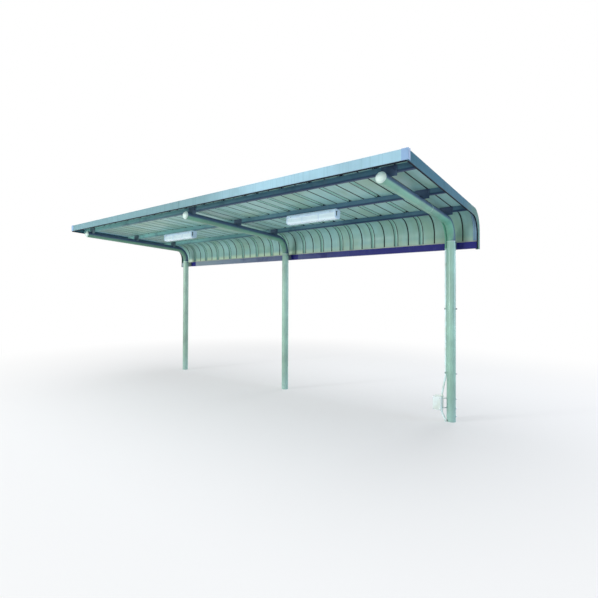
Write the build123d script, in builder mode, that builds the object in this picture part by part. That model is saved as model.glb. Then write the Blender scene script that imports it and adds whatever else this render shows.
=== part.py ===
"""A cantilever cycle shelter of two bays, in millimetres.

X runs along the shelter, the open front faces -Y and Z is up. The origin is the centre of the
middle post's foot, on the ground. Three tube posts stand at the back. A bent arm slips into the
head of each one and carries three channel purlins, and ribbed sheets lie on the purlins, curve
down over the back and end behind the rear rail.
"""
import os
from math import atan2, cos, degrees, radians, sin, tan

from build123d import *

# Posts and arms
POST_SPACING = 2500.0
POST_OD = 101.6
POST_WALL = 3.2
POST_HEIGHT = 2118.0
POST_SOLE = 6.0
POST_RIM_CHAMFER = 1.5
ARM_WALL = 3.2
ARM_INSERT = 150.0
ARM_BEND_RADIUS = 220.0
ARM_REACH = 1932.0
ARM_BORE = 60.0
ARM_CAP_RIM = 3.5
ARM_CAP_RISE = 20.0
ARM_CAP_PLUG = 30.0

# Clearances: a slip fit, a seat that a weld or screw closes, and a joint between long pieces
SLIP = 0.3
SEAT = 0.3

# Roof outline, seen from the side: its rise over the posts, and its overhang past the arms
ROOF_SLOPE = 2.55
ROOF_RISE = 359.0
ROOF_OVERHANG = 118.0
ROOF_BACK = 187.0
ROOF_BEND_RADIUS = 245.0

# Roof sheets: full sheets of two rib pitches, and one half sheet to make up the length
RIB_PITCH = 167.0
SHEET_STEPS = [2] * 11 + [1] + [2] * 5
SHEET_THICKNESS = 2.0
RIB_HEIGHT = 21.0
RIB_BASE = 40.0
RIB_TOP = 22.0

# Verge trims at the two ends
TRIM_DEPTH = 86.0
TRIM_THICKNESS = 2.5
TRIM_TOP_FLANGE = 45.0
TRIM_WIDTH = 14.5
TRIM_INNER_RADIUS = 215.0
TRIM_TAIL = 7.0

# Front fascia and its corner caps
FASCIA_HEIGHT = 87.0
FASCIA_THICKNESS = 2.5
FASCIA_UPSTAND = 6.5
FASCIA_TOP_FLANGE = 40.0
FASCIA_BOTTOM_FLANGE = 16.0
CORNER_CAP_WIDTH = 55.0
CORNER_CAP_DEPTH = 42.0
CORNER_CAP_WALL = 2.0

# Purlins and rear rail
PURLIN_HEIGHT = 60.0
PURLIN_FLANGE = 30.0
PURLIN_WALL = 2.3
PURLIN_LIP = 10.0
PURLIN_SETBACK = 73.0
PURLIN_PITCH = 768.0
CLEAT_THICKNESS = 6.0
CLEAT_REACH = 108.0
CLEAT_OVERLAP = 30.0
CLEAT_DROP = 32.0
RAIL_FRONT = 100.0
RAIL_DROP = 5.0
RAIL_HEIGHT = 78.0
RAIL_WALL = 2.3
RAIL_LIP = 12.0
RAIL_BRACKET_WIDTH = 80.0
RAIL_BRACKET_HEIGHT = 60.0
RAIL_BRACKET_WALL = 4.0
SHEET_END_RISE = 6.0

# Lamps under the middle purlin, one in the middle of each bay
LAMP_LENGTH = 690.0
LAMP_WIDTH = 110.0
LAMP_TRAY_HEIGHT = 38.0
LAMP_TRAY_TOP = 84.0
LAMP_COVER_WIDTH = 98.0
LAMP_COVER_HEIGHT = 68.0
LAMP_COVER_RADIUS = 26.0
LAMP_COVER_WALL = 2.5
LAMP_COVER_INSET = 8.0

# Electrical box beside the right post, its conduits and the straps that hold them
BOX_WIDTH = 90.0
BOX_DEPTH = 114.0
BOX_HEIGHT = 154.0
BOX_BOTTOM = 136.0
BOX_GAP = 35.0
BOX_BACK = 4.0
BOX_CORNER = 6.0
BOX_LID = 26.0
BOX_LID_LIP = 2.0
BOX_BAND_MARGIN = 14.0
BOX_BAND_INSET = 50.0
CONDUIT_OD = 22.0
CONDUIT_PORT_INSET = 14.0
CONDUIT_STUB = 22.0
CONDUIT_KINK = 60.0
CONDUIT_BEND = 26.0
CONDUIT_JOIN_HEIGHT = 535.0
CONDUIT_FOOT_SHIFT = 52.0
CONDUIT_FOOT_FORWARD = 42.0
STRAP_THICKNESS = 1.5
STRAP_WIDTH = 14.0
STRAP_HEIGHT = 556.0
STRAP_PITCH = 761.0
ARM_STRAP_REACH = 796.0

# What follows from them
ROOF_HEIGHT = POST_HEIGHT + ROOF_RISE
ROOF_FRONT = ARM_REACH + ROOF_OVERHANG
RAIL_TOP = POST_HEIGHT - RAIL_DROP
TRIM_BOTTOM = RAIL_TOP - RAIL_HEIGHT - TRIM_TAIL
RAIL_BRACKET_BOTTOM = RAIL_TOP - (RAIL_HEIGHT + RAIL_BRACKET_HEIGHT) / 2
ARM_OD = POST_OD - 2 * POST_WALL - 2 * SLIP
PAN_DEPTH = TRIM_THICKNESS + SEAT + RIB_HEIGHT + SHEET_THICKNESS
PURLIN_UNDERSIDE = PAN_DEPTH + PURLIN_HEIGHT
ARM_AXIS_DEPTH = PURLIN_UNDERSIDE + SEAT + ARM_OD / 2
ROOF_HALF = sum(SHEET_STEPS) * RIB_PITCH / 2
TRIM_OUTER = ROOF_HALF + TRIM_WIDTH
CHANNEL_LENGTH = 2 * (ROOF_HALF - SEAT)
POSTS = {"left": -POST_SPACING, "middle": 0.0, "right": POST_SPACING}
PURLINS = {
    "front": ARM_REACH - PURLIN_SETBACK,
    "middle": ARM_REACH - PURLIN_SETBACK - PURLIN_PITCH,
    "rear": ARM_REACH - PURLIN_SETBACK - 2 * PURLIN_PITCH,
}
LAMPS = {"left": -POST_SPACING / 2, "right": POST_SPACING / 2}
SLOPE = radians(ROOF_SLOPE)
ALONG = Vector(0, cos(SLOPE), -sin(SLOPE))
UP = Vector(0, sin(SLOPE), cos(SLOPE))

os.makedirs("parts", exist_ok=True)


def save(part, name):
    """Labels a finished piece and writes its file."""
    part.label = name
    export_step(part, f"parts/{name}.step")


def roof_z(y, depth):
    """Height of the straight roof at y, a depth below the top of the verge trim."""
    return ROOF_HEIGHT - depth / cos(SLOPE) - y * tan(SLOPE)


def roof_points(depth, front, bottom):
    """Front end, corner and lower end of the roof's outline, as (y, z), a depth inside it."""
    back = ROOF_BACK - depth
    return [(-front, roof_z(-front, depth)), (back, roof_z(back, depth)), (back, bottom)]


def roof_plane(x, reach, depth=0.0):
    """Plane square to X at x, with its own x down the slope and its own y square to the roof."""
    return Plane(origin=(x, -reach, roof_z(-reach, depth)), x_dir=ALONG, z_dir=(1, 0, 0))


def cross_plane(reach, depth, x=0.0):
    """Plane square to the slope, with its own x along the shelter and its own y up."""
    return Plane(origin=(x, -reach, roof_z(-reach, depth)), x_dir=(1, 0, 0), z_dir=-ALONG)


# Posts: tubes with a closing sole, which lies on the ground and holds the origin
for side, x in POSTS.items():
    with BuildPart() as post:
        with BuildSketch(Plane.XY):
            with Locations((x, 0)):
                Circle(POST_OD / 2)
        extrude(amount=POST_HEIGHT)
        with BuildSketch(Plane.XY.offset(POST_SOLE)):
            with Locations((x, 0)):
                Circle(POST_OD / 2 - POST_WALL)
        extrude(amount=POST_HEIGHT, mode=Mode.SUBTRACT)
        rim = post.edges().group_by(Axis.Z)[-1].sort_by(SortBy.RADIUS)[-1]
        chamfer(rim, POST_RIM_CHAMFER)
    save(post.part, f"post_{side}")

# Arms: one bent tube each, upright in the post's head and rising forward with the roof. Only the
# front end of the bore is cut, because the cap closes it and the post hides the other end.
for side, x in POSTS.items():
    cap_plane = cross_plane(ARM_REACH, ARM_AXIS_DEPTH, x)
    with BuildPart() as arm:
        with BuildLine(Plane(origin=(x, 0, 0), x_dir=(0, 1, 0), z_dir=(1, 0, 0))) as arm_path:
            FilletPolyline(
                (0, POST_HEIGHT - ARM_INSERT),
                (0, roof_z(0, ARM_AXIS_DEPTH)),
                (-ARM_REACH, roof_z(-ARM_REACH, ARM_AXIS_DEPTH)),
                radius=ARM_BEND_RADIUS,
            )
        with BuildSketch(Plane(origin=arm_path.line @ 0, x_dir=(1, 0, 0), z_dir=arm_path.line % 0)):
            Circle(ARM_OD / 2)
        sweep()
        with BuildSketch(cap_plane):
            Circle(ARM_OD / 2 - ARM_WALL)
        extrude(amount=-ARM_BORE, mode=Mode.SUBTRACT)
    save(arm.part, f"arm_{side}")

# Arm caps: a rim on each tube's end, a low dome in front and a plug inside the bore
dome_radius = ARM_OD / 2 - ARM_CAP_RIM
dome_base = SEAT + ARM_CAP_RIM
sphere_radius = (dome_radius**2 + ARM_CAP_RISE**2) / (2 * ARM_CAP_RISE)
with BuildPart() as arm_caps:
    for x in POSTS.values():
        cap_plane = cross_plane(ARM_REACH, ARM_AXIS_DEPTH, x)
        with BuildSketch(cap_plane.offset(SEAT)):
            Circle(ARM_OD / 2)
        extrude(amount=ARM_CAP_RIM)
        with BuildSketch(cap_plane.offset(SEAT)):
            Circle(ARM_OD / 2 - ARM_WALL - SLIP)
        extrude(amount=-ARM_CAP_PLUG)
        with BuildSketch(Plane(origin=cap_plane.origin, x_dir=(1, 0, 0), z_dir=-cap_plane.y_dir)):
            with BuildLine():
                Line((0, dome_base), (dome_radius, dome_base))
                RadiusArc((dome_radius, dome_base), (0, dome_base + ARM_CAP_RISE), -sphere_radius)
                Line((0, dome_base + ARM_CAP_RISE), (0, dome_base))
            make_face()
        revolve(axis=Axis(cap_plane.origin, cap_plane.z_dir))
save(arm_caps.part, "arm_caps")

# Purlins: lipped channels on the arms' crowns, their webs to the front
for place, reach in PURLINS.items():
    with BuildPart() as purlin:
        with BuildSketch(roof_plane(-CHANNEL_LENGTH / 2, reach, PAN_DEPTH)):
            with BuildLine():
                Polyline(
                    (PURLIN_FLANGE, -PURLIN_LIP),
                    (PURLIN_FLANGE, 0),
                    (0, 0),
                    (0, -PURLIN_HEIGHT),
                    (PURLIN_FLANGE, -PURLIN_HEIGHT),
                    (PURLIN_FLANGE, PURLIN_LIP - PURLIN_HEIGHT),
                )
                offset(amount=PURLIN_WALL, side=Side.LEFT, kind=Kind.INTERSECTION)
            make_face()
        extrude(amount=CHANNEL_LENGTH)
    save(purlin.part, f"purlin_{place}")

# Cleats: plates coped over the right-hand side of each arm, against each purlin's web
with BuildPart() as cleats:
    for reach in PURLINS.values():
        for x in POSTS.values():
            with BuildSketch(cross_plane(reach, 0, x)):
                plate_height = PURLIN_HEIGHT + CLEAT_DROP
                with Locations(((CLEAT_REACH - CLEAT_OVERLAP) / 2, -PAN_DEPTH - plate_height / 2)):
                    Rectangle(CLEAT_REACH + CLEAT_OVERLAP, plate_height)
                with Locations((0, -ARM_AXIS_DEPTH)):
                    Circle(ARM_OD / 2 + SEAT, mode=Mode.SUBTRACT)
            extrude(amount=CLEAT_THICKNESS)
save(cleats.part, "purlin_cleats")

# Rear rail: a deep channel behind the posts, to which the sheets' lower ends are fixed
rail_depth = ROOF_BACK - PAN_DEPTH - SEAT - RAIL_FRONT
rail_plane = Plane(origin=(-CHANNEL_LENGTH / 2, RAIL_FRONT, RAIL_TOP), x_dir=(0, 1, 0), z_dir=(1, 0, 0))
with BuildPart() as rail:
    with BuildSketch(rail_plane):
        with BuildLine():
            Polyline(
                (rail_depth, -RAIL_LIP),
                (rail_depth, 0),
                (0, 0),
                (0, -RAIL_HEIGHT),
                (rail_depth, -RAIL_HEIGHT),
                (rail_depth, RAIL_LIP - RAIL_HEIGHT),
            )
            offset(amount=RAIL_WALL, side=Side.LEFT, kind=Kind.INTERSECTION)
        make_face()
    extrude(amount=CHANNEL_LENGTH)
save(rail.part, "rear_rail")

# Rail brackets: open boxes between the back of each post and the rail, coped on the tube
with BuildPart() as rail_brackets:
    for x in POSTS.values():
        with BuildSketch(Plane.XY.offset(RAIL_BRACKET_BOTTOM)):
            with Locations((x, RAIL_FRONT)):
                Rectangle(RAIL_BRACKET_WIDTH, RAIL_FRONT, align=(Align.CENTER, Align.MAX))
            with Locations((x, RAIL_FRONT - RAIL_BRACKET_WALL)):
                Rectangle(
                    RAIL_BRACKET_WIDTH - 2 * RAIL_BRACKET_WALL,
                    RAIL_FRONT,
                    align=(Align.CENTER, Align.MAX),
                    mode=Mode.SUBTRACT,
                )
            with Locations((x, 0)):
                Circle(POST_OD / 2 + SEAT, mode=Mode.SUBTRACT)
        extrude(amount=RAIL_BRACKET_HEIGHT)
save(rail_brackets.part, "rail_brackets")


def sheet_section(left, right, at_left_end, at_right_end):
    """Underside of one sheet as (x, height) points, from under the last sheet's rib to its own."""
    half_base, half_top = RIB_BASE / 2, RIB_TOP / 2
    start = left if at_left_end else left + half_top
    if at_right_end:
        return [(start, 0), (right, 0)]
    lap = (half_base - half_top) * (SHEET_THICKNESS + SEAT) / RIB_HEIGHT
    return [
        (start, 0),
        (right - half_base, 0),
        (right - half_top, RIB_HEIGHT),
        (right + half_top, RIB_HEIGHT),
        (right + half_base - lap, SHEET_THICKNESS + SEAT),
    ]


# Roof sheets, numbered from the left: the last rib of each one laps over the next one's edge
left_edge = -ROOF_HALF
for number, step in enumerate(SHEET_STEPS, start=1):
    right_edge = left_edge + step * RIB_PITCH
    with BuildPart() as sheet:
        with BuildLine(Plane.YZ) as sheet_path:
            FilletPolyline(
                *roof_points(PAN_DEPTH, ROOF_FRONT, RAIL_TOP - RAIL_HEIGHT + SHEET_END_RISE),
                radius=ROOF_BEND_RADIUS - PAN_DEPTH,
            )
        with BuildSketch(Plane(origin=sheet_path.line @ 0, x_dir=(-1, 0, 0), z_dir=sheet_path.line % 0)):
            with BuildLine():
                outline = sheet_section(left_edge, right_edge, number == 1, number == len(SHEET_STEPS))
                Polyline(*[(-px, py) for px, py in outline])
                offset(amount=SHEET_THICKNESS, side=Side.RIGHT, kind=Kind.INTERSECTION)
            make_face()
        sweep()
    save(sheet.part, f"roof_sheet_{number:02d}")
    left_edge = right_edge

# Verge trims: a web that follows the roof's outline, a broad top flange and a narrow lower one
for side, way in (("left", -1), ("right", 1)):
    with BuildPart() as trim:
        with BuildSketch(Plane.YZ.offset(way * TRIM_OUTER)):
            with BuildLine():
                outer = FilletPolyline(*roof_points(0, ROOF_FRONT, TRIM_BOTTOM), radius=ROOF_BEND_RADIUS)
                inner = FilletPolyline(
                    *roof_points(TRIM_DEPTH, ROOF_FRONT, TRIM_BOTTOM), radius=TRIM_INNER_RADIUS
                )
                Line(outer @ 0, inner @ 0)
                Line(outer @ 1, inner @ 1)
            make_face()
        extrude(amount=-way * TRIM_THICKNESS)
        with BuildSketch(Plane.YZ.offset(way * TRIM_OUTER)):
            with BuildLine():
                FilletPolyline(*roof_points(0, ROOF_FRONT, TRIM_BOTTOM), radius=ROOF_BEND_RADIUS)
                offset(amount=TRIM_THICKNESS, side=Side.RIGHT)
            make_face()
        extrude(amount=-way * TRIM_TOP_FLANGE)
        with BuildSketch(Plane.YZ.offset(way * TRIM_OUTER)):
            with BuildLine():
                FilletPolyline(
                    *roof_points(TRIM_DEPTH, ROOF_FRONT, TRIM_BOTTOM), radius=TRIM_INNER_RADIUS
                )
                offset(amount=TRIM_THICKNESS, side=Side.LEFT)
            make_face()
        extrude(amount=-way * TRIM_WIDTH)
    save(trim.part, f"verge_trim_{side}")

# Front fascia: an upright web with a flange over the sheets' ribs and a return at its foot
fascia_face = -ROOF_FRONT - SEAT - FASCIA_THICKNESS
fascia_top = roof_z(-ROOF_FRONT, 0) + FASCIA_UPSTAND
flange_top = (roof_z(-ROOF_FRONT, 0) + roof_z(FASCIA_TOP_FLANGE - ROOF_FRONT, 0)) / 2
with BuildPart() as fascia:
    with BuildSketch(Plane.YZ.offset(-TRIM_OUTER)):
        with Locations((fascia_face, fascia_top)):
            Rectangle(FASCIA_THICKNESS, FASCIA_HEIGHT, align=(Align.MIN, Align.MAX))
    extrude(amount=2 * TRIM_OUTER)
    with BuildSketch(Plane.YZ.offset(-CHANNEL_LENGTH / 2)):
        with Locations((fascia_face, fascia_top - FASCIA_HEIGHT)):
            Rectangle(FASCIA_BOTTOM_FLANGE, FASCIA_THICKNESS, align=Align.MIN)
    extrude(amount=CHANNEL_LENGTH)
    with BuildSketch(roof_plane(SEAT + TRIM_TOP_FLANGE - TRIM_OUTER, ROOF_FRONT)):
        with Locations((-SEAT - FASCIA_THICKNESS, 0)):
            Rectangle(
                SEAT + FASCIA_THICKNESS + FASCIA_TOP_FLANGE,
                TRIM_THICKNESS,
                align=(Align.MIN, Align.MAX),
            )
    extrude(amount=2 * (TRIM_OUTER - TRIM_TOP_FLANGE - SEAT))
save(fascia.part, "front_fascia")

# Corner caps: folded covers over the fascia's ends, open to the back, the inside and below
with BuildPart() as corner_caps:
    cap_outer = TRIM_OUTER + SEAT + CORNER_CAP_WALL
    cap_face = fascia_face - SEAT - CORNER_CAP_WALL
    cap_top = fascia_top + SEAT + CORNER_CAP_WALL
    cap_height = FASCIA_HEIGHT + SEAT + CORNER_CAP_WALL
    for way in (-1, 1):
        inward = Align.MIN if way < 0 else Align.MAX
        with BuildSketch(Plane.XY.offset(cap_top)):
            with Locations((way * cap_outer, cap_face)):
                Rectangle(CORNER_CAP_WIDTH, CORNER_CAP_DEPTH, align=(inward, Align.MIN))
        extrude(amount=-cap_height)
        with BuildSketch(Plane.XY.offset(cap_top - CORNER_CAP_WALL)):
            with Locations((way * (cap_outer - CORNER_CAP_WALL), cap_face + CORNER_CAP_WALL)):
                Rectangle(CORNER_CAP_WIDTH, CORNER_CAP_DEPTH, align=(inward, Align.MIN))
        extrude(amount=-cap_height, mode=Mode.SUBTRACT)
save(corner_caps.part, "corner_caps")

# Lamps: a tray screwed under the middle purlin, and a milky cover held by the tray's ends
lamp_reach = PURLINS["middle"] - PURLIN_FLANGE / 2
for side, x in LAMPS.items():
    lamp_start = x - LAMP_LENGTH / 2
    with BuildPart() as lamp_tray:
        with BuildSketch(roof_plane(lamp_start, lamp_reach, PURLIN_UNDERSIDE + SEAT)):
            with BuildLine():
                Polyline(
                    (-LAMP_TRAY_TOP / 2, 0),
                    (LAMP_TRAY_TOP / 2, 0),
                    (LAMP_WIDTH / 2, -LAMP_TRAY_HEIGHT / 2),
                    (LAMP_WIDTH / 2, -LAMP_TRAY_HEIGHT),
                    (-LAMP_WIDTH / 2, -LAMP_TRAY_HEIGHT),
                    (-LAMP_WIDTH / 2, -LAMP_TRAY_HEIGHT / 2),
                    close=True,
                )
            make_face()
        extrude(amount=LAMP_LENGTH)
    save(lamp_tray.part, f"lamp_tray_{side}")

    cover_plane = roof_plane(
        lamp_start + LAMP_COVER_INSET, lamp_reach, PURLIN_UNDERSIDE + 2 * SEAT + LAMP_TRAY_HEIGHT
    )
    with BuildPart() as lamp_cover:
        with BuildSketch(cover_plane):
            with Locations((0, 0)):
                Rectangle(LAMP_COVER_WIDTH, LAMP_COVER_HEIGHT, align=(Align.CENTER, Align.MAX))
        extrude(amount=LAMP_LENGTH - 2 * LAMP_COVER_INSET)
        low_edges = lamp_cover.edges().filter_by(Axis.X).sort_by(Axis.Z)[:2]
        fillet(low_edges, LAMP_COVER_RADIUS)
        tray_face = lamp_cover.faces().sort_by(Axis.Z)[-1]
        offset(amount=-LAMP_COVER_WALL, openings=tray_face)
    save(lamp_cover.part, f"lamp_cover_{side}")

# Electrical box: a rounded body with a lid that stands proud at its front
box_right = POST_SPACING - POST_OD / 2 - BOX_GAP
box_x = box_right - BOX_WIDTH / 2
box_front = -BOX_BACK - BOX_DEPTH
with BuildPart() as box:
    with BuildSketch(Plane.XY.offset(BOX_BOTTOM)):
        with Locations((box_x, -BOX_BACK - (BOX_DEPTH - BOX_LID - SEAT) / 2)):
            RectangleRounded(BOX_WIDTH, BOX_DEPTH - BOX_LID - SEAT, BOX_CORNER)
    extrude(amount=BOX_HEIGHT)
save(box.part, "electrical_box")
with BuildPart() as lid:
    with BuildSketch(Plane.XY.offset(BOX_BOTTOM - BOX_LID_LIP)):
        with Locations((box_x, box_front)):
            Rectangle(BOX_WIDTH + 2 * BOX_LID_LIP, BOX_LID, align=(Align.CENTER, Align.MIN))
    extrude(amount=BOX_HEIGHT + 2 * BOX_LID_LIP)
    fillet(lid.faces().sort_by(Axis.Y)[0].edges(), BOX_CORNER)
save(lid.part, "box_lid")

# Conduits: one climbs from the box along post and arm to the middle purlin, one goes to ground
conduit_offset = POST_OD / 2 + SEAT + CONDUIT_OD / 2
conduit_x = POST_SPACING - conduit_offset
port_x = box_right - CONDUIT_PORT_INSET
port_y = -BOX_BACK - CONDUIT_PORT_INSET
box_top = BOX_BOTTOM + BOX_HEIGHT
conduit_reach = PURLINS["middle"] - PURLIN_FLANGE / 2
conduit_top = roof_z(-conduit_reach, PURLIN_UNDERSIDE) - SEAT - CONDUIT_OD / 2 * tan(SLOPE)
foot_x = port_x + CONDUIT_FOOT_SHIFT
foot_y = port_y - CONDUIT_FOOT_FORWARD
riser_points = [
    (port_x, port_y, box_top + SEAT),
    (port_x, port_y, box_top + CONDUIT_STUB),
    (conduit_x, 0, CONDUIT_JOIN_HEIGHT),
    (conduit_x, 0, roof_z(0, ARM_AXIS_DEPTH)),
    (conduit_x, -conduit_reach, roof_z(-conduit_reach, ARM_AXIS_DEPTH)),
    (conduit_x, -conduit_reach, conduit_top),
]
foot_points = [
    (port_x, port_y, BOX_BOTTOM - SEAT),
    (port_x, port_y, BOX_BOTTOM - 2 * CONDUIT_STUB),
    (foot_x, foot_y, CONDUIT_STUB),
    (foot_x, foot_y, 0),
]
with BuildPart() as conduits:
    for points, radii in (
        (riser_points, [CONDUIT_KINK, CONDUIT_KINK, ARM_BEND_RADIUS, CONDUIT_BEND]),
        (foot_points, [CONDUIT_BEND, CONDUIT_BEND]),
    ):
        with BuildLine() as route:
            FilletPolyline(*points, radius=radii)
        with BuildSketch(Plane(origin=route.line @ 0, z_dir=route.line % 0)):
            Circle(CONDUIT_OD / 2)
        sweep(path=route.line)
save(conduits.part, "conduits")

# Straps: each one wraps the tube and the conduit together, and the box hangs on two of its own
with BuildPart() as straps:
    under_bracket = RAIL_BRACKET_BOTTOM - SEAT - STRAP_WIDTH
    strap_heights = (STRAP_HEIGHT, STRAP_HEIGHT + STRAP_PITCH, under_bracket)
    strap_places = [(Plane.XY.offset(height), POST_OD) for height in strap_heights]
    strap_places.append((cross_plane(ARM_STRAP_REACH, ARM_AXIS_DEPTH), ARM_OD))
    for strap_plane, tube_od in strap_places:
        for grow, mode in ((SEAT + STRAP_THICKNESS, Mode.ADD), (SEAT, Mode.SUBTRACT)):
            with BuildSketch(strap_plane):
                with Locations((POST_SPACING, 0)):
                    Circle(tube_od / 2 + grow)
                with Locations((conduit_x, 0)):
                    Circle(CONDUIT_OD / 2 + grow)
                make_hull()
            extrude(amount=STRAP_WIDTH, mode=mode)
    arm_angle = degrees(atan2(-BOX_BACK - BOX_BAND_INSET, box_right - POST_SPACING))
    for height in (BOX_BOTTOM + BOX_BAND_MARGIN, box_top - BOX_BAND_MARGIN - STRAP_WIDTH):
        with BuildSketch(Plane.XY.offset(height)):
            with Locations((POST_SPACING, 0)):
                Circle(POST_OD / 2 + SEAT + STRAP_THICKNESS)
            with Locations(Location((POST_SPACING, 0), arm_angle)):
                Rectangle(POST_OD + BOX_GAP, 2 * STRAP_THICKNESS, align=(Align.MIN, Align.CENTER))
            with Locations((box_right + SEAT, 0)):
                Rectangle(BOX_WIDTH, 2 * BOX_DEPTH, align=(Align.MAX, Align.CENTER), mode=Mode.SUBTRACT)
            with Locations((POST_SPACING, 0)):
                Circle(POST_OD / 2 + SEAT, mode=Mode.SUBTRACT)
        extrude(amount=STRAP_WIDTH)
save(straps.part, "straps")
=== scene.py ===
# %% [markdown]
# A bicycle shelter with two bays. Three posts stand at the back, a bent arm sits in the head of
# each, purlins lie across the arms, and ribbed sheets lie on the purlins and curve down behind.
# The measured model is loaded first and stays as it is. The cells below paint it, round its
# folded edges, replace the roof sheets by fully pressed ones, and add what is too small for it.

# %% Load the measured model
from math import cos, pi, radians, sin, tan, tau

import bpy
from mathutils import Matrix, Vector, noise


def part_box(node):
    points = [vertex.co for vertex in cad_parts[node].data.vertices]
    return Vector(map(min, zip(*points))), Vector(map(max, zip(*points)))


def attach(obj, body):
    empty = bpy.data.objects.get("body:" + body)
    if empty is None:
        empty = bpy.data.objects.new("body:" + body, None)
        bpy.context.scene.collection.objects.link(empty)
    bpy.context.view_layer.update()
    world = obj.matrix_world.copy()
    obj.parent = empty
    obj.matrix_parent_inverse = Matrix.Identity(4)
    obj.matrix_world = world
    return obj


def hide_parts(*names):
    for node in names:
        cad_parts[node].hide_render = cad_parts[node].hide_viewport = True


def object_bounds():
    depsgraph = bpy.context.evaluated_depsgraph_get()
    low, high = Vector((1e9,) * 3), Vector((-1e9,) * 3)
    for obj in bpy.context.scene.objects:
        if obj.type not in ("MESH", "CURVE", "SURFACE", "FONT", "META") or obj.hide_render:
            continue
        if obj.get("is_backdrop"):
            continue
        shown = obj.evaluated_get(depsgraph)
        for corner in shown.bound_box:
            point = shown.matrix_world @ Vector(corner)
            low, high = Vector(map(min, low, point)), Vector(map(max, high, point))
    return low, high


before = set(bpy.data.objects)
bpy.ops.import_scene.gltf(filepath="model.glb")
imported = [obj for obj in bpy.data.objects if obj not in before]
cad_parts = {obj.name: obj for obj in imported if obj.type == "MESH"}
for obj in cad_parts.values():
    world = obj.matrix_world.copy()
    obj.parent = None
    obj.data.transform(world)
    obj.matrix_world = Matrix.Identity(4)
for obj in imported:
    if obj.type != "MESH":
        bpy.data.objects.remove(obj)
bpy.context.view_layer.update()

# %% [markdown]
# A material is a small network of nodes. Wiring it by hand is slow to write and hard to read, so
# one class wraps a socket and lets Python's own signs add the Math nodes: `1 - mask * 0.5` becomes
# two nodes. Everything else comes from its `node` method, which sets a node's settings first and
# then fills its sockets with values or with other wires.

# %% A socket that does sums
class Wire:
    """A socket in a node tree. Sums on it add Math nodes, and `node` adds any other node."""

    def __init__(self, tree, socket=None):
        self.tree = tree
        self.socket = socket

    def node(self, kind, settings=None, inputs=None, output=0):
        """Adds a node, sets it up, fills its inputs and gives one of its outputs."""
        made = self.tree.nodes.new("ShaderNode" + kind)
        for key, value in (settings or {}).items():
            setattr(made, key, value)
        for key, value in (inputs or {}).items():
            if isinstance(value, Wire):
                self.tree.links.new(value.socket, made.inputs[key])
            else:
                made.inputs[key].default_value = value
        return Wire(self.tree, made.outputs[output] if len(made.outputs) else None)

    def maths(self, operation, first, second):
        return self.node("Math", {"operation": operation}, {0: first, 1: second})

    def __add__(self, other):
        return self.maths("ADD", self, other)

    __radd__ = __add__

    def __sub__(self, other):
        return self.maths("SUBTRACT", self, other)

    def __rsub__(self, other):
        return self.maths("SUBTRACT", other, self)

    def __mul__(self, other):
        return self.maths("MULTIPLY", self, other)

    __rmul__ = __mul__

    def between(self, low, high):
        """0 below low, 1 above high, and a smooth ramp between them."""
        limits = {"Value": self, "From Min": low, "From Max": high}
        return self.node("MapRange", {"interpolation_type": "SMOOTHSTEP"}, limits)


print("a wire knows", [name for name in vars(Wire) if not name.startswith("_")])

# %% [markdown]
# Paints are easier to choose as they look on a screen, and Blender wants them linear. One function
# turns the one into the other. A second one mixes two colours by a mask, because a Math node would
# turn a colour grey.

# %% Colours, mixes and noises
def colour(red, green_reflection, blue):
    """A screen colour as the linear colour with alpha that the shaders take."""
    def linear(v):
        return v / 12.92 if v <= 0.04045 else ((v + 0.055) / 1.055) ** 2.4

    return (linear(red), linear(green_reflection), linear(blue), 1.0)


def shade(tone, share):
    """A tone made darker or lighter by a share, as a shader colour."""
    return colour(*[min(1.0, v * share) for v in tone])


def blend(low, high, mask, mode="MIX"):
    """One colour where the mask is 0 and the other where it is 1."""
    pick = {0: mask, 6: low, 7: high}
    return mask.node("Mix", {"data_type": "RGBA", "blend_type": mode}, pick, output=2)


def place_of(wire):
    """Metres along X, Y and Z on the model, the same on every piece."""
    return wire.node("TexCoord", output="Object")


def stretched(place, scale):
    """The same place with each axis scaled, which draws a noise out into streaks."""
    return place.node("Mapping", {}, {"Vector": place, "Scale": scale})


def clouds(place, scale, detail=3.0, rough=0.55):
    """Soft noise about 0.5, with patches of 1 / scale metres."""
    sizes = {"Vector": place, "Scale": scale, "Detail": detail, "Roughness": rough}
    return place.node("TexNoise", {}, sizes)


def axis_of(place, name):
    """One coordinate of a place."""
    return place.node("SeparateXYZ", {}, {"Vector": place}, output=name)


def new_material(name):
    """An empty material, a wire to start its network from, and the place on the model."""
    material = bpy.data.materials.new(name)
    material.use_nodes = True
    material.node_tree.nodes.clear()
    start = Wire(material.node_tree)
    return material, start, place_of(start)


def surface(start, base, rough, bump, depth, **sockets):
    """Joins a colour, a roughness and a bump of a depth into one shader and ends the network."""
    inputs = {"Base Color": base, "Roughness": rough}
    inputs.update({name.replace("_", " "): value for name, value in sockets.items()})
    inputs["Normal"] = start.node("Bump", {}, {"Height": bump, "Distance": depth, "Strength": 1.0})
    shader = start.node("BsdfPrincipled", {}, inputs)
    start.node("OutputMaterial", {}, {"Surface": shader})


print("wires and colours are ready")
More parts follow.
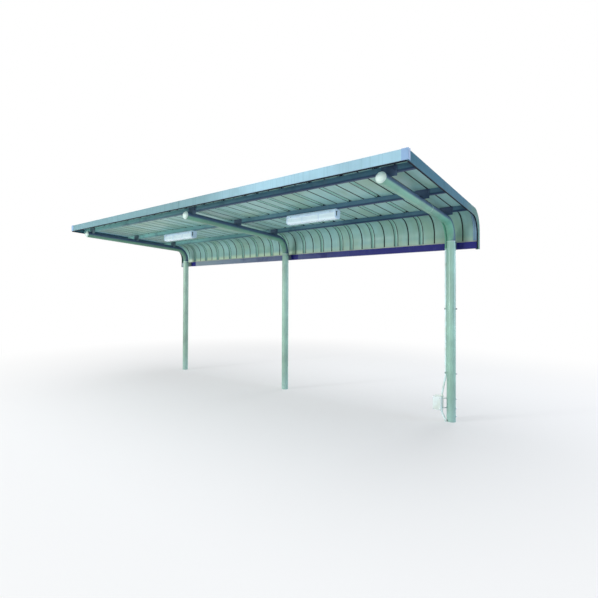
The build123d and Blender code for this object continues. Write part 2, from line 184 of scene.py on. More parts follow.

# %% [markdown]
# The posts and arms are steel tubes with a baked grey-green enamel. Enamel is never one tone: it
# is a little cloudy, has a fine orange peel in its gloss, carries faint runs of dust, and is
# splashed at the posts' feet. The arms are darker on their top and on their right, which is
# painted shade: those sides face away from the light under the roof. The left-hand post and arm
# are a little darker than the others. Each of those is one mask, mixed one after another.

# %% Enamel of the posts and arms
POST_TONE = (0.595, 0.77, 0.70)
ARM_TONE = (0.385, 0.64, 0.54)
DUST_TONE = (0.74, 0.77, 0.72)
ARM_SHADE_TONE = (0.24, 0.31, 0.46)
ARM_SHADE_START = 0.10
ARM_SHADE_FULL = 0.62
RIGHT_SHARE = 0.5
SPLASH_TONE = (0.67, 0.81, 0.78)
SPLASH_HEIGHT = 0.45
SPLASH_WASH = 0.45
LEFT_LOSS = (0.925, 0.89, 0.875)
LEFT_END = -2.5
RIGHT_END = 2.3


def enamel(name, tone, gloss, splash=0.0, arm_shade=0.0):
    """Baked enamel: a cloudy tone, dusty runs, and splashes at the foot or painted shade on top and
    right.
    """
    material, start, place = new_material(name)
    broad = clouds(place, 3.0)
    peel = clouds(place, 420.0, detail=1.0)
    runs = clouds(stretched(place, (60.0, 60.0, 1.3)), 1.0, detail=4.0).between(0.52, 0.75)
    base = blend(shade(tone, 0.92), shade(tone, 1.04), broad.between(0.35, 0.65))
    base = blend(base, colour(*DUST_TONE), runs * 0.22)
    leftward = 1 - axis_of(place, "X").between(LEFT_END, RIGHT_END)
    base = blend(base, colour(*LEFT_LOSS), leftward, "MULTIPLY")
    rough = gloss + broad * 0.08 + runs * 0.14
    if splash:
        low = 1 - axis_of(place, "Z").between(0.0, SPLASH_HEIGHT)
        specks = clouds(place, 130.0, detail=2.0).between(0.50, 0.60) * low * low
        base = blend(base, colour(*SPLASH_TONE), specks * splash + low * SPLASH_WASH)
        rough = rough + specks * 0.25
    if arm_shade:
        # Painted shade: darker where the normal points up or to the right.
        normal = start.node("NewGeometry", output="Normal")
        shaded_side = axis_of(normal, "Z") + axis_of(normal, "X") * RIGHT_SHARE
        shade_mask = (shaded_side + broad * 0.2).between(ARM_SHADE_START, ARM_SHADE_FULL)
        base = blend(base, colour(*ARM_SHADE_TONE), shade_mask * arm_shade)
        rough = rough + shade_mask * 0.3
    surface(start, base, rough, peel, 0.0004, IOR=1.5, Coat_Weight=0.30, Coat_Roughness=0.12)
    return material


post_paint = enamel("post_enamel", POST_TONE, 0.30, splash=0.55)
arm_paint = enamel("arm_enamel", ARM_TONE, 0.32, arm_shade=0.9)
print("enamels", post_paint.name, arm_paint.name)

# %% [markdown]
# Purlins, rail, brackets and cleats are cold-formed channels, dipped in a darker slate. The dip
# is painted deep navy at the right-hand end and pale grey at the left, which is painted light: the
# right-hand end stands in shade and the left is lit. So the dip is a mix of two tones along X, with
# dusty drips on top. Beside the left and middle posts the rail keeps the deep tone on a short
# length, a painted shadow of each post. The lower flange of each purlin, which no light reaches,
# gets a deep navy edge of painted shade: its height is measured square to the fall of the roof, so
# one mask serves all three. A dip is also duller than an enamel, which the specular level says: at
# half of its usual 0.5 it mirrors half as much.

# %% Slate dip of the channels and plates
LIT_END = -3.0
DEEP_END = 2.2
DRIP_TONE = (0.60, 0.64, 0.66)
ROOF_FALL = radians(2.55)
PURLIN_HEIGHT = 0.060
FLANGE_SHADE_TONE = (0.13, 0.17, 0.33)
NAVY_FULL = 0.008
NAVY_END = 0.024
POST_SHADOW_FROM = 0.025
POST_SHADOW_TO = 0.170
EDGE_BLUR = 0.012

purlin_low, purlin_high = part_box("purlin_middle")
crest_y = purlin_low.y + PURLIN_HEIGHT * sin(ROOF_FALL)
purlin_foot = purlin_high.z * cos(ROOF_FALL) + crest_y * sin(ROOF_FALL) - PURLIN_HEIGHT
# Painted shadows of the left and middle posts fall on the rail just to the right of each.
post_shadow_lengths = []
for side in ("left", "middle"):
    post_x = sum(corner.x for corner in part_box(f"post_{side}")) / 2
    post_shadow_lengths.append((post_x + POST_SHADOW_FROM, post_x + POST_SHADOW_TO))


def slate_dip(name, deep, lit_tone, gloss, flange_shade=0.0, shadow_lengths=()):
    """Dipped steel painted from a shaded tone at the right to a lit tone at the left."""
    material, start, place = new_material(name)
    broad = clouds(place, 4.0, detail=4.0)
    drips = clouds(stretched(place, (26.0, 26.0, 5.0)), 1.0, detail=4.0).between(0.48, 0.74)
    along = axis_of(place, "X")
    # Painted light: fade is 1 where the dip is painted lit, at the left, and 0 where it is shaded.
    fade = 1 - (along + broad * 0.8).between(LIT_END, DEEP_END)
    # Painted shadow: on each post's shadow length the dip keeps its shaded tone.
    for low, high in shadow_lengths:
        inside = along.between(low - EDGE_BLUR, low) - along.between(high, high + EDGE_BLUR)
        fade = fade * (1 - inside)
    base = blend(colour(*deep), colour(*lit_tone), fade)
    base = blend(base, shade(deep, 0.70), broad.between(0.52, 0.70) * 0.45)
    base = blend(base, colour(*DRIP_TONE), drips * (fade * 0.25 + 0.07))
    # Painted shade: a deep navy edge along each purlin's lower flange.
    if flange_shade:
        height = axis_of(place, "Z") * cos(ROOF_FALL) + axis_of(place, "Y") * sin(ROOF_FALL)
        edge = 1 - height.between(purlin_foot + NAVY_FULL, purlin_foot + NAVY_END)
        base = blend(base, colour(*FLANGE_SHADE_TONE), edge * (1 - fade * 0.7) * flange_shade)
    rough = gloss + drips * 0.20 + broad * 0.12
    bump = clouds(place, 380.0, detail=2.0)
    surface(start, base, rough, bump, 0.0004, IOR=1.5, Specular_IOR_Level=0.25)
    return material


channel_paint = slate_dip("slate_dip", (0.30, 0.45, 0.525), (0.56, 0.79, 0.76), 0.42, flange_shade=0.75)
rail_paint = slate_dip("rail_dip", (0.13, 0.14, 0.47), (0.60, 0.67, 0.70), 0.44, shadow_lengths=post_shadow_lengths)
# The cleats and rail brackets take darker deep tones than the channels, as painted shade.
plate_paint = slate_dip("plate_dip", (0.24, 0.32, 0.42), (0.36, 0.46, 0.50), 0.45)
bracket_paint = slate_dip("bracket_dip", (0.22, 0.27, 0.42), (0.60, 0.66, 0.58), 0.45)
print("slate dips", channel_paint.name, rail_paint.name, plate_paint.name, bracket_paint.name)

# %% [markdown]
# The roof sheets are coil-coated steel. The underside is pale, glossy and streaked along the fall
# of the roof by the rollers and by old condensation. The top is the same coat after years of
# rain: duller, with run-off stains between the ribs and grains of dirt. The streaks are one noise
# stretched along the sheet, so it is fine across X and long in Y and Z. On the underside green
# patches are a painted reflection, and the lower ends are painted paler as painted sunlight, most
# of all in the left bay. The dark strips beside the ribs, which are dirt and painted shade, the
# ribs' crests, painted paler against that shade, and the flashings are other tones of the same
# coat.

# %% Coil coat of the roof sheets
DIRT_TONE = (0.44, 0.49, 0.42)
REFLECTED_GREEN = (0.50, 0.64, 0.42)
SUNLIT_TONE = (0.89, 0.97, 0.83)
SUNLIT_FULL = 2.155
SUNLIT_END = 2.225
LEFT_BAY_END = 0.0
RIGHT_BAY_START = 0.6
RIGHT_BAY_LOSS = 0.6


def coil_coat(name, tone, gloss, weather, green_reflection=0.0, coat=0.0, sunlit=0.0):
    """Coil-coated sheet: streaks, stains, dirt, a painted green reflection and painted sunlit ends."""
    material, start, place = new_material(name)
    roller = clouds(stretched(place, (90.0, 1.5, 1.5)), 1.0, detail=3.0)
    stains = clouds(stretched(place, (18.0, 0.8, 0.8)), 1.0, detail=5.0).between(0.50, 0.74)
    patches = clouds(stretched(place, (2.6, 1.1, 1.6)), 1.0, detail=3.0).between(0.42, 0.68)
    grains = clouds(place, 240.0, detail=2.0).between(0.62, 0.70)
    base = blend(shade(tone, 0.95), shade(tone, 1.03), roller)
    base = blend(base, shade(tone, 0.78), stains * weather)
    # Painted reflection: green patches on the sheet.
    base = blend(base, colour(*REFLECTED_GREEN), patches * green_reflection)
    base = blend(base, colour(*DIRT_TONE), patches * weather * 0.3 + grains * weather * 0.5)
    # Painted sunlight: the lower ends are paler, most of all in the left bay.
    if sunlit:
        foot = 1 - (axis_of(place, "Z") + roller * 0.03).between(SUNLIT_FULL, SUNLIT_END)
        to_right = axis_of(place, "X").between(LEFT_BAY_END, RIGHT_BAY_START)
        base = blend(base, colour(*SUNLIT_TONE), foot * (1 - to_right * RIGHT_BAY_LOSS) * sunlit)
    rough = gloss + stains * (0.25 * weather + 0.04) + roller * 0.05 + grains * 0.1
    bump = roller * 0.5 + patches
    surface(start, base, rough, bump, 0.0005, IOR=1.5, Coat_Weight=coat, Coat_Roughness=0.12)
    return material


under_tone = (0.60, 0.785, 0.765)
sheet_under = coil_coat("coil_coat_under", under_tone, 0.40, 0.25, green_reflection=0.40, coat=0.08, sunlit=0.8)
sheet_over = coil_coat("coil_coat_weathered", (0.52, 0.62, 0.63), 0.62, 0.75)
# The groove coat is dirt and painted shade, and the crest coat is painted paler against that shade.
groove_dirt_and_shade = coil_coat("coil_coat_groove", (0.11, 0.18, 0.20), 0.55, 0.50)
lit_crest = coil_coat("coil_coat_crest", (0.66, 0.84, 0.79), 0.40, 0.15)
flashing_pale = coil_coat("coil_coat_flashing", (0.58, 0.75, 0.88), 0.30, 0.20)
angle_cream = coil_coat("coil_coat_angle", (0.80, 0.83, 0.78), 0.45, 0.30)
print("coil coats", sheet_under.name, sheet_over.name, groove_dirt_and_shade.name, lit_crest.name)
print("flashings", flashing_pale.name, angle_cream.name)

# %% [markdown]
# The fascia and verge trims are folded from pale blue-grey sheet. Rain leaves thin upright streaks
# under their top edge. The verges are a darker, matt slate, partly their own tone and partly
# painted shade, and greener towards the back. The corner covers come from another batch and lean a
# little to violet.

# %% Folded trims and their corner covers
DULL_UP_TO = 0.4
BRIGHT_FROM = 1.5
BACK_GREEN_TONE = (0.44, 0.57, 0.44)
BACK_GREEN_FROM = -0.50
BACK_GREEN_FULL = 0.05
TRIM_TONE = (0.60, 0.75, 0.81)
TRIM_STREAKS = (0.36, 0.50, 0.51)
SHADED_VERGE_TONE = (0.29, 0.46, 0.52)
VERGE_STREAKS = (0.27, 0.385, 0.34)
CORNER_TONE = (0.50, 0.635, 0.775)
CORNER_STREAKS = (0.42, 0.51, 0.63)


def trim_coat(name, tone, streak_tone, dullness=0.0, gloss=0.32, mirror=0.5, back_green=0.0):
    """Folded trim: a soft sheen, rain streaks, a duller left-hand part and a greener back."""
    material, start, place = new_material(name)
    broad = clouds(place, 2.4).between(0.3, 0.7)
    streaks = clouds(stretched(place, (95.0, 30.0, 1.6)), 1.0, detail=4.0).between(0.50, 0.74)
    peel = clouds(place, 500.0, detail=1.0)
    dull = 1 - (axis_of(place, "X") + broad * 0.3).between(DULL_UP_TO, BRIGHT_FROM)
    base = blend(shade(tone, 0.96), shade(tone, 1.03), broad)
    base = blend(base, colour(*streak_tone), streaks * 0.20 + dull * dullness)
    if back_green:
        greener_back = (axis_of(place, "Y") + broad * 0.2).between(BACK_GREEN_FROM, BACK_GREEN_FULL)
        base = blend(base, colour(*BACK_GREEN_TONE), greener_back * back_green)
    rough = gloss + streaks * 0.2 + broad * 0.06
    surface(start, base, rough, peel, 0.0003, IOR=1.5, Specular_IOR_Level=mirror)
    return material


trim_paint = trim_coat("trim_coat", TRIM_TONE, TRIM_STREAKS, 0.72, gloss=0.50, mirror=0.14)
# The verges' darker tone is partly painted shade.
shaded_verge_paint = trim_coat("verge_coat", SHADED_VERGE_TONE, VERGE_STREAKS, gloss=0.62, mirror=0.06, back_green=0.5)
corner_paint = trim_coat("corner_coat", CORNER_TONE, CORNER_STREAKS)
print("trim coats", trim_paint.name, shaded_verge_paint.name, corner_paint.name)

# %% [markdown]
# The small moulded pieces are plastics: white caps on the arms, a white-enamelled lamp body, an
# off-white box and pale conduit. A moulded plastic is softly glossy, has a grain from its mould,
# and yellows and collects dust unevenly. The conduit was painted over with the arm above the upper
# strap.

# %% Moulded plastics
PLASTIC_DUST = (0.66, 0.68, 0.64)
PAINTED_ABOVE = 2.03
PAINT_BLUR = 0.01


def plastic(name, tone, gloss, grain_scale, grain_depth, aged_tone, ageing, painted=False):
    """Moulded plastic: an even tone, a mould grain, an aged tone, and arm paint high up."""
    material, start, place = new_material(name)
    grain = clouds(place, grain_scale, detail=2.0)
    aged = clouds(place, 9.0, detail=4.0).between(0.42, 0.72)
    dust = clouds(stretched(place, (70.0, 70.0, 6.0)), 1.0, detail=3.0).between(0.5, 0.75)
    base = blend(colour(*tone), colour(*aged_tone), aged * ageing)
    base = blend(base, colour(*PLASTIC_DUST), dust * 0.14)
    if painted:
        height = axis_of(place, "Z")
        above = height.between(PAINTED_ABOVE - PAINT_BLUR, PAINTED_ABOVE + PAINT_BLUR)
        base = blend(base, colour(*ARM_TONE), above)
    surface(start, base, gloss + dust * 0.2 + grain * 0.06, grain, grain_depth, IOR=1.48)
    return material


cap_plastic = plastic("cap_moulding", (0.80, 0.89, 0.87), 0.46, 300.0, 0.0002, (0.80, 0.86, 0.78), 0.5)
lamp_body = plastic("lamp_enamel", (0.84, 0.93, 1.0), 0.25, 380.0, 0.0002, (0.72, 0.78, 0.88), 0.4)
box_plastic = plastic("box_moulding", (0.95, 1.0, 0.99), 0.42, 520.0, 0.0004, (0.76, 0.79, 0.70), 0.5)
conduit_plastic = plastic(
    "conduit_tube", (0.90, 0.98, 0.98), 0.32, 340.0, 0.0002, (0.76, 0.82, 0.74), 0.5, painted=True
)
print("plastics", cap_plastic.name, lamp_body.name, box_plastic.name, conduit_plastic.name)

# %% [markdown]
# The lamp's milky cover is pressed with fine ribs along its length, and it glows a little where
# light has soaked into the plastic, which a weak emission stands for. A sine of the height plus the
# depth draws ribs on the upright sides and on the bottom at once, because one of the two always
# changes there.

# %% Milky cover of the lamps
RIBS_PER_METRE = 190.0
COVER_DUST = (0.78, 0.86, 0.84)
GLOW = {"Emission_Color": colour(0.72, 0.93, 1.0), "Emission_Strength": 0.10}


def diffuser(name, tone):
    """Milky plastic with fine ribs along the lamp and a little dust."""
    material, start, place = new_material(name)
    across = axis_of(place, "Y") + axis_of(place, "Z")
    ribs = across.maths("SINE", across * (tau * RIBS_PER_METRE), 0.0)
    dust = clouds(place, 22.0, detail=4.0).between(0.45, 0.75)
    base = blend(colour(*tone), colour(*COVER_DUST), dust * 0.5)
    base = blend(base, shade(tone, 0.93), ribs.between(0.2, 1.0) * 0.5)
    surface(start, base, 0.22 + dust * 0.2, ribs, 0.0006, IOR=1.5, **GLOW)
    return material


lamp_diffuser = diffuser("lamp_diffuser", (0.93, 0.98, 1.0))
print("milky cover", lamp_diffuser.name)

# %% [markdown]
# Screws, clamps and other small fasteners are zinc-plated. Zinc shows a patchwork of crystals, each
# with its own tone and gloss, which a Voronoi texture draws: every cell has one random value. The
# gaskets are black rubber, which is dark and matt, with chalky dust.

# %% Zinc and rubber
DULL_ZINC = (0.62, 0.64, 0.66)
CHALK_TONE = (0.18, 0.21, 0.24)


def zinc(name, tone, dull):
    """Zinc plate: crystals that differ in tone and gloss, dulled in patches."""
    material, start, place = new_material(name)
    crystals = start.node("TexVoronoi", {}, {"Vector": place, "Scale": 260.0}, output="Color")
    crystal = axis_of(crystals, "X")
    dulled = clouds(place, 60.0).between(0.4, 0.65)
    base = blend(shade(tone, 0.88), colour(*tone), crystal)
    base = blend(base, colour(*DULL_ZINC), dulled * dull)
    rough = 0.26 + crystal * 0.12 + dulled * 0.25
    surface(start, base, rough, clouds(place, 700.0), 0.0002, Metallic=0.9)
    return material


def rubber(name, tone):
    """Rubber or foam with chalky dust."""
    material, start, place = new_material(name)
    chalk = clouds(place, 40.0, detail=4.0).between(0.5, 0.8)
    base = blend(colour(*tone), colour(*CHALK_TONE), chalk * 0.3)
    rough = 0.62 + chalk * 0.2
    surface(start, base, rough, clouds(place, 600.0), 0.0003, Specular_IOR_Level=0.12)
    return material


fastener_zinc = zinc("zinc_fastener", (0.82, 0.85, 0.88), 0.4)
gasket_rubber = rubber("gasket_rubber", (0.03, 0.06, 0.12))
print("metals", fastener_zinc.name, gasket_rubber.name)

# %% [markdown]
# Now the measured nodes take their finishes. Which finish goes where is read as a list of name
# beginnings, because a real shelter is painted by kind of piece. Folded steel also never has a
# knife edge, so the folded nodes get a Weld modifier, which joins the corners that the file split,
# and a small Bevel, which gives each fold a rounded edge that catches the light.

# %% Paint the measured nodes and round their folds
FINISHES = {
    "post_": post_paint,
    "arm_": arm_paint,
    "arm_caps": cap_plastic,
    "purlin_": channel_paint,
    "purlin_cleats": plate_paint,
    "rear_rail": rail_paint,
    "rail_brackets": bracket_paint,
    "roof_sheet_": sheet_under,
    "verge_trim_": shaded_verge_paint,
    "front_fascia": trim_paint,
    "corner_caps": corner_paint,
    "lamp_tray_": lamp_body,
    "lamp_cover_": lamp_diffuser,
    "electrical_box": box_plastic,
    "box_lid": box_plastic,
    "conduits": conduit_plastic,
    "straps": post_paint,
}
FOLD_RADII = {
    "purlin_": 0.0010,
    "rear_rail": 0.0010,
    "rail_brackets": 0.0012,
    "verge_trim_": 0.0010,
    "front_fascia": 0.0010,
    "corner_caps": 0.0009,
    "lamp_tray_": 0.0030,
}
JOIN_DISTANCE = 0.00002
FOLD_SEGMENTS = 2
FOLD_ANGLE = radians(40)


def kind_of(table, name):
    """The entry whose key begins the name, the longest such key first, or None."""
    keys = sorted((key for key in table if name.startswith(key)), key=len)
    return table[keys[-1]] if keys else None


for name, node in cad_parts.items():
    node.data.materials.clear()
    node.data.materials.append(kind_of(FINISHES, name))
    radius = kind_of(FOLD_RADII, name)
    if radius:
        weld = node.modifiers.new("join_corners", "WELD")
        weld.merge_threshold = JOIN_DISTANCE
        fold = node.modifiers.new("round_folds", "BEVEL")
        fold.width = radius
        fold.segments = FOLD_SEGMENTS
        fold.limit_method = "ANGLE"
        fold.angle_limit = FOLD_ANGLE
        fold.harden_normals = True
print("painted", len(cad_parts), "nodes")

# %% [markdown]
# Most of the small things to come are round or square, and sit on a face that leans. Each is
# therefore drawn about a place, a matrix whose own Z points out of that face. The helpers make
# such a place, give a point round it, the angles of a full turn and the corners of a rectangle.

# %% Places, turns and rectangles
def facing(origin, way, side=(1, 0, 0)):
    """A place whose own Z points the given way, and whose own X lies as near as it can to side."""
    z = Vector(way).normalized()
    y = z.cross(Vector(side)).normalized()
    x = y.cross(z)
    return Matrix.Translation(origin) @ Matrix((x, y, z)).transposed().to_4x4()


def around(place, radius, angle, height=0.0):
    """The point at a radius and an angle about a place's own Z, and a height along it."""
    return place @ Vector((radius * cos(angle), radius * sin(angle), height))


def turns(sides):
    """Angles that divide a full turn evenly."""
    return [tau * step / sides for step in range(sides)]


def rectangle(left, right, low, high):
    """The four corners of a rectangle, in order."""
    return [(left, low), (right, low), (right, high), (left, high)]


to_front = facing((0, 0, 0), (0, -1, 0))
print("a place that faces the front keeps its own X at", tuple(to_front.col[0][:3]))

# %% [markdown]
# New pieces are drawn as lists of points. Most of them are a row of rings joined into a skin: a
# bolt is rings about an axis, a bead of weld is rings along a line, and a roof sheet is its section
# repeated along the roof. So one small class gathers rings into a mesh, and finishes it as a piece
# that rides on the frame.

# %% Draw pieces from rings
BEAD_SIDES = 6
BEAD_RIPPLE = 0.16
RIPPLE_STEP = 2.4
ASKEW = (0.31, 0.52, 0.79)


class Shape:
    """Points and faces gathered for one mesh, which may hold many like parts."""

    def __init__(self):
        self.points = []
        self.faces = []
        self.kinds = []

    def skin(self, rings, close=False, kind=0):
        """Joins rings of equally many points, and the last ring to the first if asked."""
        first, count = len(self.points), len(rings[0])
        for ring in rings:
            self.points += [Vector(point) for point in ring]
        spans = len(rings) if close else len(rings) - 1
        for span in range(spans):
            a, b = first + span * count, first + (span + 1) % len(rings) * count
            for i in range(count):
                j = (i + 1) % count
                self.faces.append((a + i, a + j, b + j, b + i))
                self.kinds.append(kind)
        return first

    def lid(self, first, count, turn=False, kind=0):
        """Closes one ring with a single face."""
        ring = tuple(range(first, first + count))
        self.faces.append(ring[::-1] if turn else ring)
        self.kinds.append(kind)

    def solid(self, rings, kind=0):
        """A skin that is closed at both ends."""
        count = len(rings[0])
        first = self.skin(rings, kind=kind)
        self.lid(first, count, True, kind)
        self.lid(first + (len(rings) - 1) * count, count, False, kind)

    def turned(self, place, profile, sides=24, kind=0):
        """A profile of (radius, height) turned about the place's own Z."""
        angles = turns(sides)
        self.solid([[around(place, r, angle, h) for angle in angles] for r, h in profile], kind)

    def ring_of(self, place, section, sides=48, kind=0):
        """A closed ring: a section of (radius, height) carried round the place's own Z."""
        rings = [[around(place, r, angle, h) for r, h in section] for angle in turns(sides)]
        self.skin(rings, close=True, kind=kind)

    def block(self, place, size, kind=0):
        """A box centred on a place's X and Y that stands on its Z."""
        corners = rectangle(-size[0] / 2, size[0] / 2, -size[1] / 2, size[1] / 2)
        self.solid([[place @ Vector((x, y, z)) for x, y in corners] for z in (0, size[2])], kind)

    def bar(self, reach, corners):
        """A bar along X that reaches as far to both sides, with a section of (y, z) corners."""
        self.solid([[(x, y, z) for y, z in corners] for x in (-reach, reach)])

    def bead(self, path, radius, kind=0):
        """A weld bead: a thin rope along a path, with ripples where each drop has set."""
        rings = []
        for i, point in enumerate(path):
            ahead = path[min(i + 1, len(path) - 1)] - path[max(i - 1, 0)]
            place = facing(point, ahead, ASKEW)
            thick = radius * (1 + BEAD_RIPPLE * sin(i * RIPPLE_STEP))
            rings.append([around(place, thick, angle) for angle in turns(BEAD_SIDES)])
        self.solid(rings, kind)

    def piece(self, name, materials, stands_for=(), sharp=35):
        """Ends the drawing as an object that rides on the frame."""
        mesh = bpy.data.meshes.new(name)
        mesh.from_pydata(self.points, [], self.faces)
        for material in materials if isinstance(materials, list) else [materials]:
            mesh.materials.append(material)
        mesh.polygons.foreach_set("material_index", self.kinds)
        mesh.polygons.foreach_set("use_smooth", [True] * len(mesh.polygons))
        mesh.set_sharp_from_angle(angle=radians(sharp))
        made = bpy.data.objects.new(name, mesh)
        bpy.context.scene.collection.objects.link(made)
        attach(made, "root")
        if stands_for:
            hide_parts(*stands_for)
        print(f"{name}: {len(mesh.polygons)} faces")
        return made


print("a shape knows", [name for name in vars(Shape) if not name.startswith("_")])

# %% [markdown]
# The roof's outline is needed again and again: for the sheets, for their screws and for the rubber
# under the trims. It is three runs in the Y-Z plane: a straight fall of 2.55 degrees, a quarter
# bend, and an upright tail. A depth below the top of the verge and a bend radius tell one such line
# from another. A run is the distance along the line from the front edge, and each line gives the
# point at any run.

# %% Lines that follow the roof
down_slope = Vector((0, cos(ROOF_FALL), -sin(ROOF_FALL)))
off_roof = Vector((0, sin(ROOF_FALL), cos(ROOF_FALL)))
verge_low, verge_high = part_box("verge_trim_right")


class RoofLine:
    """A line down the slope, round the bend and down the back, a depth below the verge's top."""

    def __init__(self, depth, radius, tail_z):
        self.radius = radius
        self.front = Vector((0, verge_low.y, verge_high.z - depth / cos(ROOF_FALL)))
        self.back_y = verge_high.y - depth
        self.tail_z = tail_z
        tangent = radius * tan((pi / 2 - ROOF_FALL) / 2)
        slope_length = (self.back_y - self.front.y) / cos(ROOF_FALL)
        corner_z = self.front.z - slope_length * sin(ROOF_FALL)
        self.centre = Vector((0, self.back_y - radius, corner_z - tangent))
        self.straight = slope_length - tangent
        self.bend = radius * (pi / 2 - ROOF_FALL)
        self.full = self.straight + self.bend + corner_z - tangent - tail_z

    def out(self, run):
        """The outward direction at a run."""
        if run <= self.straight:
            return off_roof
        angle = min(ROOF_FALL + (run - self.straight) / self.radius, pi / 2)
        return Vector((0, sin(angle), cos(angle)))

    def at(self, run, height=0.0, x=0.0):
        """The point a run behind the front edge and a height outside the line."""
        out = self.out(run)
        if run <= self.straight:
            base = self.front + down_slope * run
        elif run <= self.straight + self.bend:
            base = self.centre + out * self.radius
        else:
            base = Vector((0, self.back_y, self.tail_z + self.full - run))
        return base + out * height + Vector((x, 0, 0))

    def stations(self, slope_steps=1, bend_steps=24, tail_steps=1):
        """Runs from front to tail: steps as asked on each straight, and small ones in the bend."""
        marks = [self.straight * step / slope_steps for step in range(slope_steps)]
        marks += [self.straight + self.bend * step / bend_steps for step in range(bend_steps)]
        tail_start = self.straight + self.bend
        left = self.full - tail_start
        return marks + [tail_start + left * step / tail_steps for step in range(tail_steps + 1)]

    def strip(self, shape, runs, corners, kind=0):
        """A solid with (x, height) corners drawn along the runs."""
        shape.solid([[self.at(run, height, x) for x, height in corners] for run in runs], kind)


SHEET_DEPTH = 0.0258
SHEET_BEND = 0.2192

sheet_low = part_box("roof_sheet_01")[0]
sheets = RoofLine(SHEET_DEPTH, SHEET_BEND, sheet_low.z)
print(f"roof line: {sheets.straight:.3f} straight, {sheets.bend:.3f} bend, {sheets.full:.3f} in all")

# %% [markdown]
# Each sheet is pressed with a hat rib along its right edge, which laps over the turned-up left edge
# of the next sheet, and with a small stiffening crease halfway. The measured sheets have the hat
# ribs only. Here each one is replaced by a sheet with its crease, its turned-up edge and rounded
# corners. Beside each rib and in each crease the strips take a dark finish, which is dirt and
# painted shade, and each rib's crest is painted paler against that shade: a joint shows as two fine
# lines with a pale crest between them, and a crease as one. The two outermost sheets carry a pale
# flashing along the verge.

# %% Section of one roof sheet
SHEET_THICKNESS = 0.002
RIB_HEIGHT = 0.021
RIB_PITCH = 0.167
RIB_BASE = 0.040
RIB_CREST = 0.022
RIB_FOOT_ROUND = 0.0035
RIB_CREST_ROUND = 0.0015
CREASE_BASE = 0.016
CREASE_CREST = 0.005
CREASE_HEIGHT = 0.011
CREASE_FOOT_ROUND = 0.0025
CREASE_CREST_ROUND = 0.0012
EDGE_RISE = 0.014
LAP_GAP = 0.0003
FLAT_STEPS = 5
FLASHING_STEPS = (0.033, 0.036, 0.050, 0.052)
DIRT_AND_SHADE_EDGE = 0.011
FLAT_LIMIT = 0.0003


def rounded(corners, steps=3):
    """Points along (x, height, radius) corners, each one drawn as a short arc of its radius."""
    points = [Vector(corners[0][:2])]
    for before, here, after in zip(corners, corners[1:], corners[2:]):
        corner, radius = Vector(here[:2]), here[2]
        if not radius:
            points.append(corner)
            continue
        to_before = (Vector(before[:2]) - corner).normalized()
        to_after = (Vector(after[:2]) - corner).normalized()
        half = to_before.angle(to_after) / 2
        middle = (to_before + to_after).normalized()
        centre = corner + middle * (radius / sin(half))
        start = corner + to_before * (radius / tan(half)) - centre
        end = corner + to_after * (radius / tan(half)) - centre
        for step in range(steps + 1):
            points.append(centre + start.slerp(end, step / steps).normalized() * radius)
    points.append(Vector(corners[-1][:2]))
    return points


def crease_corners(middle):
    """The stiffening crease about a middle line."""
    corners = []
    for way in (-1, 1):
        foot = (middle + way * CREASE_BASE / 2, 0, CREASE_FOOT_ROUND)
        crest = (middle + way * CREASE_CREST / 2, CREASE_HEIGHT, CREASE_CREST_ROUND)
        corners += [foot, crest] if way < 0 else [crest, foot]
    return corners


def has_crease(left, right):
    """A full sheet has a crease halfway, and the half-width one has none."""
    return right - left > 1.5 * RIB_PITCH


def sheet_corners(left, right, is_first, is_last):
    """Corners of a sheet's underside from its left edge to its own hat rib, as (x, height, radius)."""
    leg = (RIB_BASE - RIB_CREST) / 2
    lap = leg * (SHEET_THICKNESS + LAP_GAP) / RIB_HEIGHT
    aside = (SHEET_THICKNESS + LAP_GAP) * (leg**2 + RIB_HEIGHT**2) ** 0.5 / RIB_HEIGHT
    foot = left + RIB_BASE / 2 - aside
    if is_first:
        corners = [(left, 0, 0)] + [(left + step, 0, 0) for step in FLASHING_STEPS]
    else:
        edge = (foot - leg * EDGE_RISE / RIB_HEIGHT, EDGE_RISE, 0)
        corners = [edge, (foot, 0, RIB_FOOT_ROUND), (left + RIB_BASE / 2 + DIRT_AND_SHADE_EDGE, 0, 0)]
    if has_crease(left, right):
        corners += crease_corners(left + RIB_PITCH)
    if is_last:
        steps = [(right - step, 0, 0) for step in reversed(FLASHING_STEPS)]
        return corners + steps + [(right, 0, 0)]
    return corners + [
        (right - RIB_BASE / 2 - DIRT_AND_SHADE_EDGE, 0, 0),
        (right - RIB_BASE / 2, 0, RIB_FOOT_ROUND),
        (right - RIB_CREST / 2, RIB_HEIGHT, RIB_CREST_ROUND),
        (right + RIB_CREST / 2, RIB_HEIGHT, RIB_CREST_ROUND),
        (right + RIB_BASE / 2 - lap, SHEET_THICKNESS + LAP_GAP, 0),
    ]


def with_flats(points):
    """Adds points to the long flats, each with how far it may wave, from 0 at a rib to 1 midway."""
    made = []
    for here, after in zip(points, points[1:]):
        made.append((here, 0.0))
        if (after - here).length > RIB_BASE:
            for step in range(1, FLAT_STEPS + 1):
                share = step / (FLAT_STEPS + 1)
                made.append((here.lerp(after, share), sin(pi * share)))
    made.append((points[-1], 0.0))
    return made


UNDER, OVER, GROOVE, FLASHING, CREST = range(5)
sheet_finishes = [sheet_under, sheet_over, groove_dirt_and_shade, flashing_pale, lit_crest]


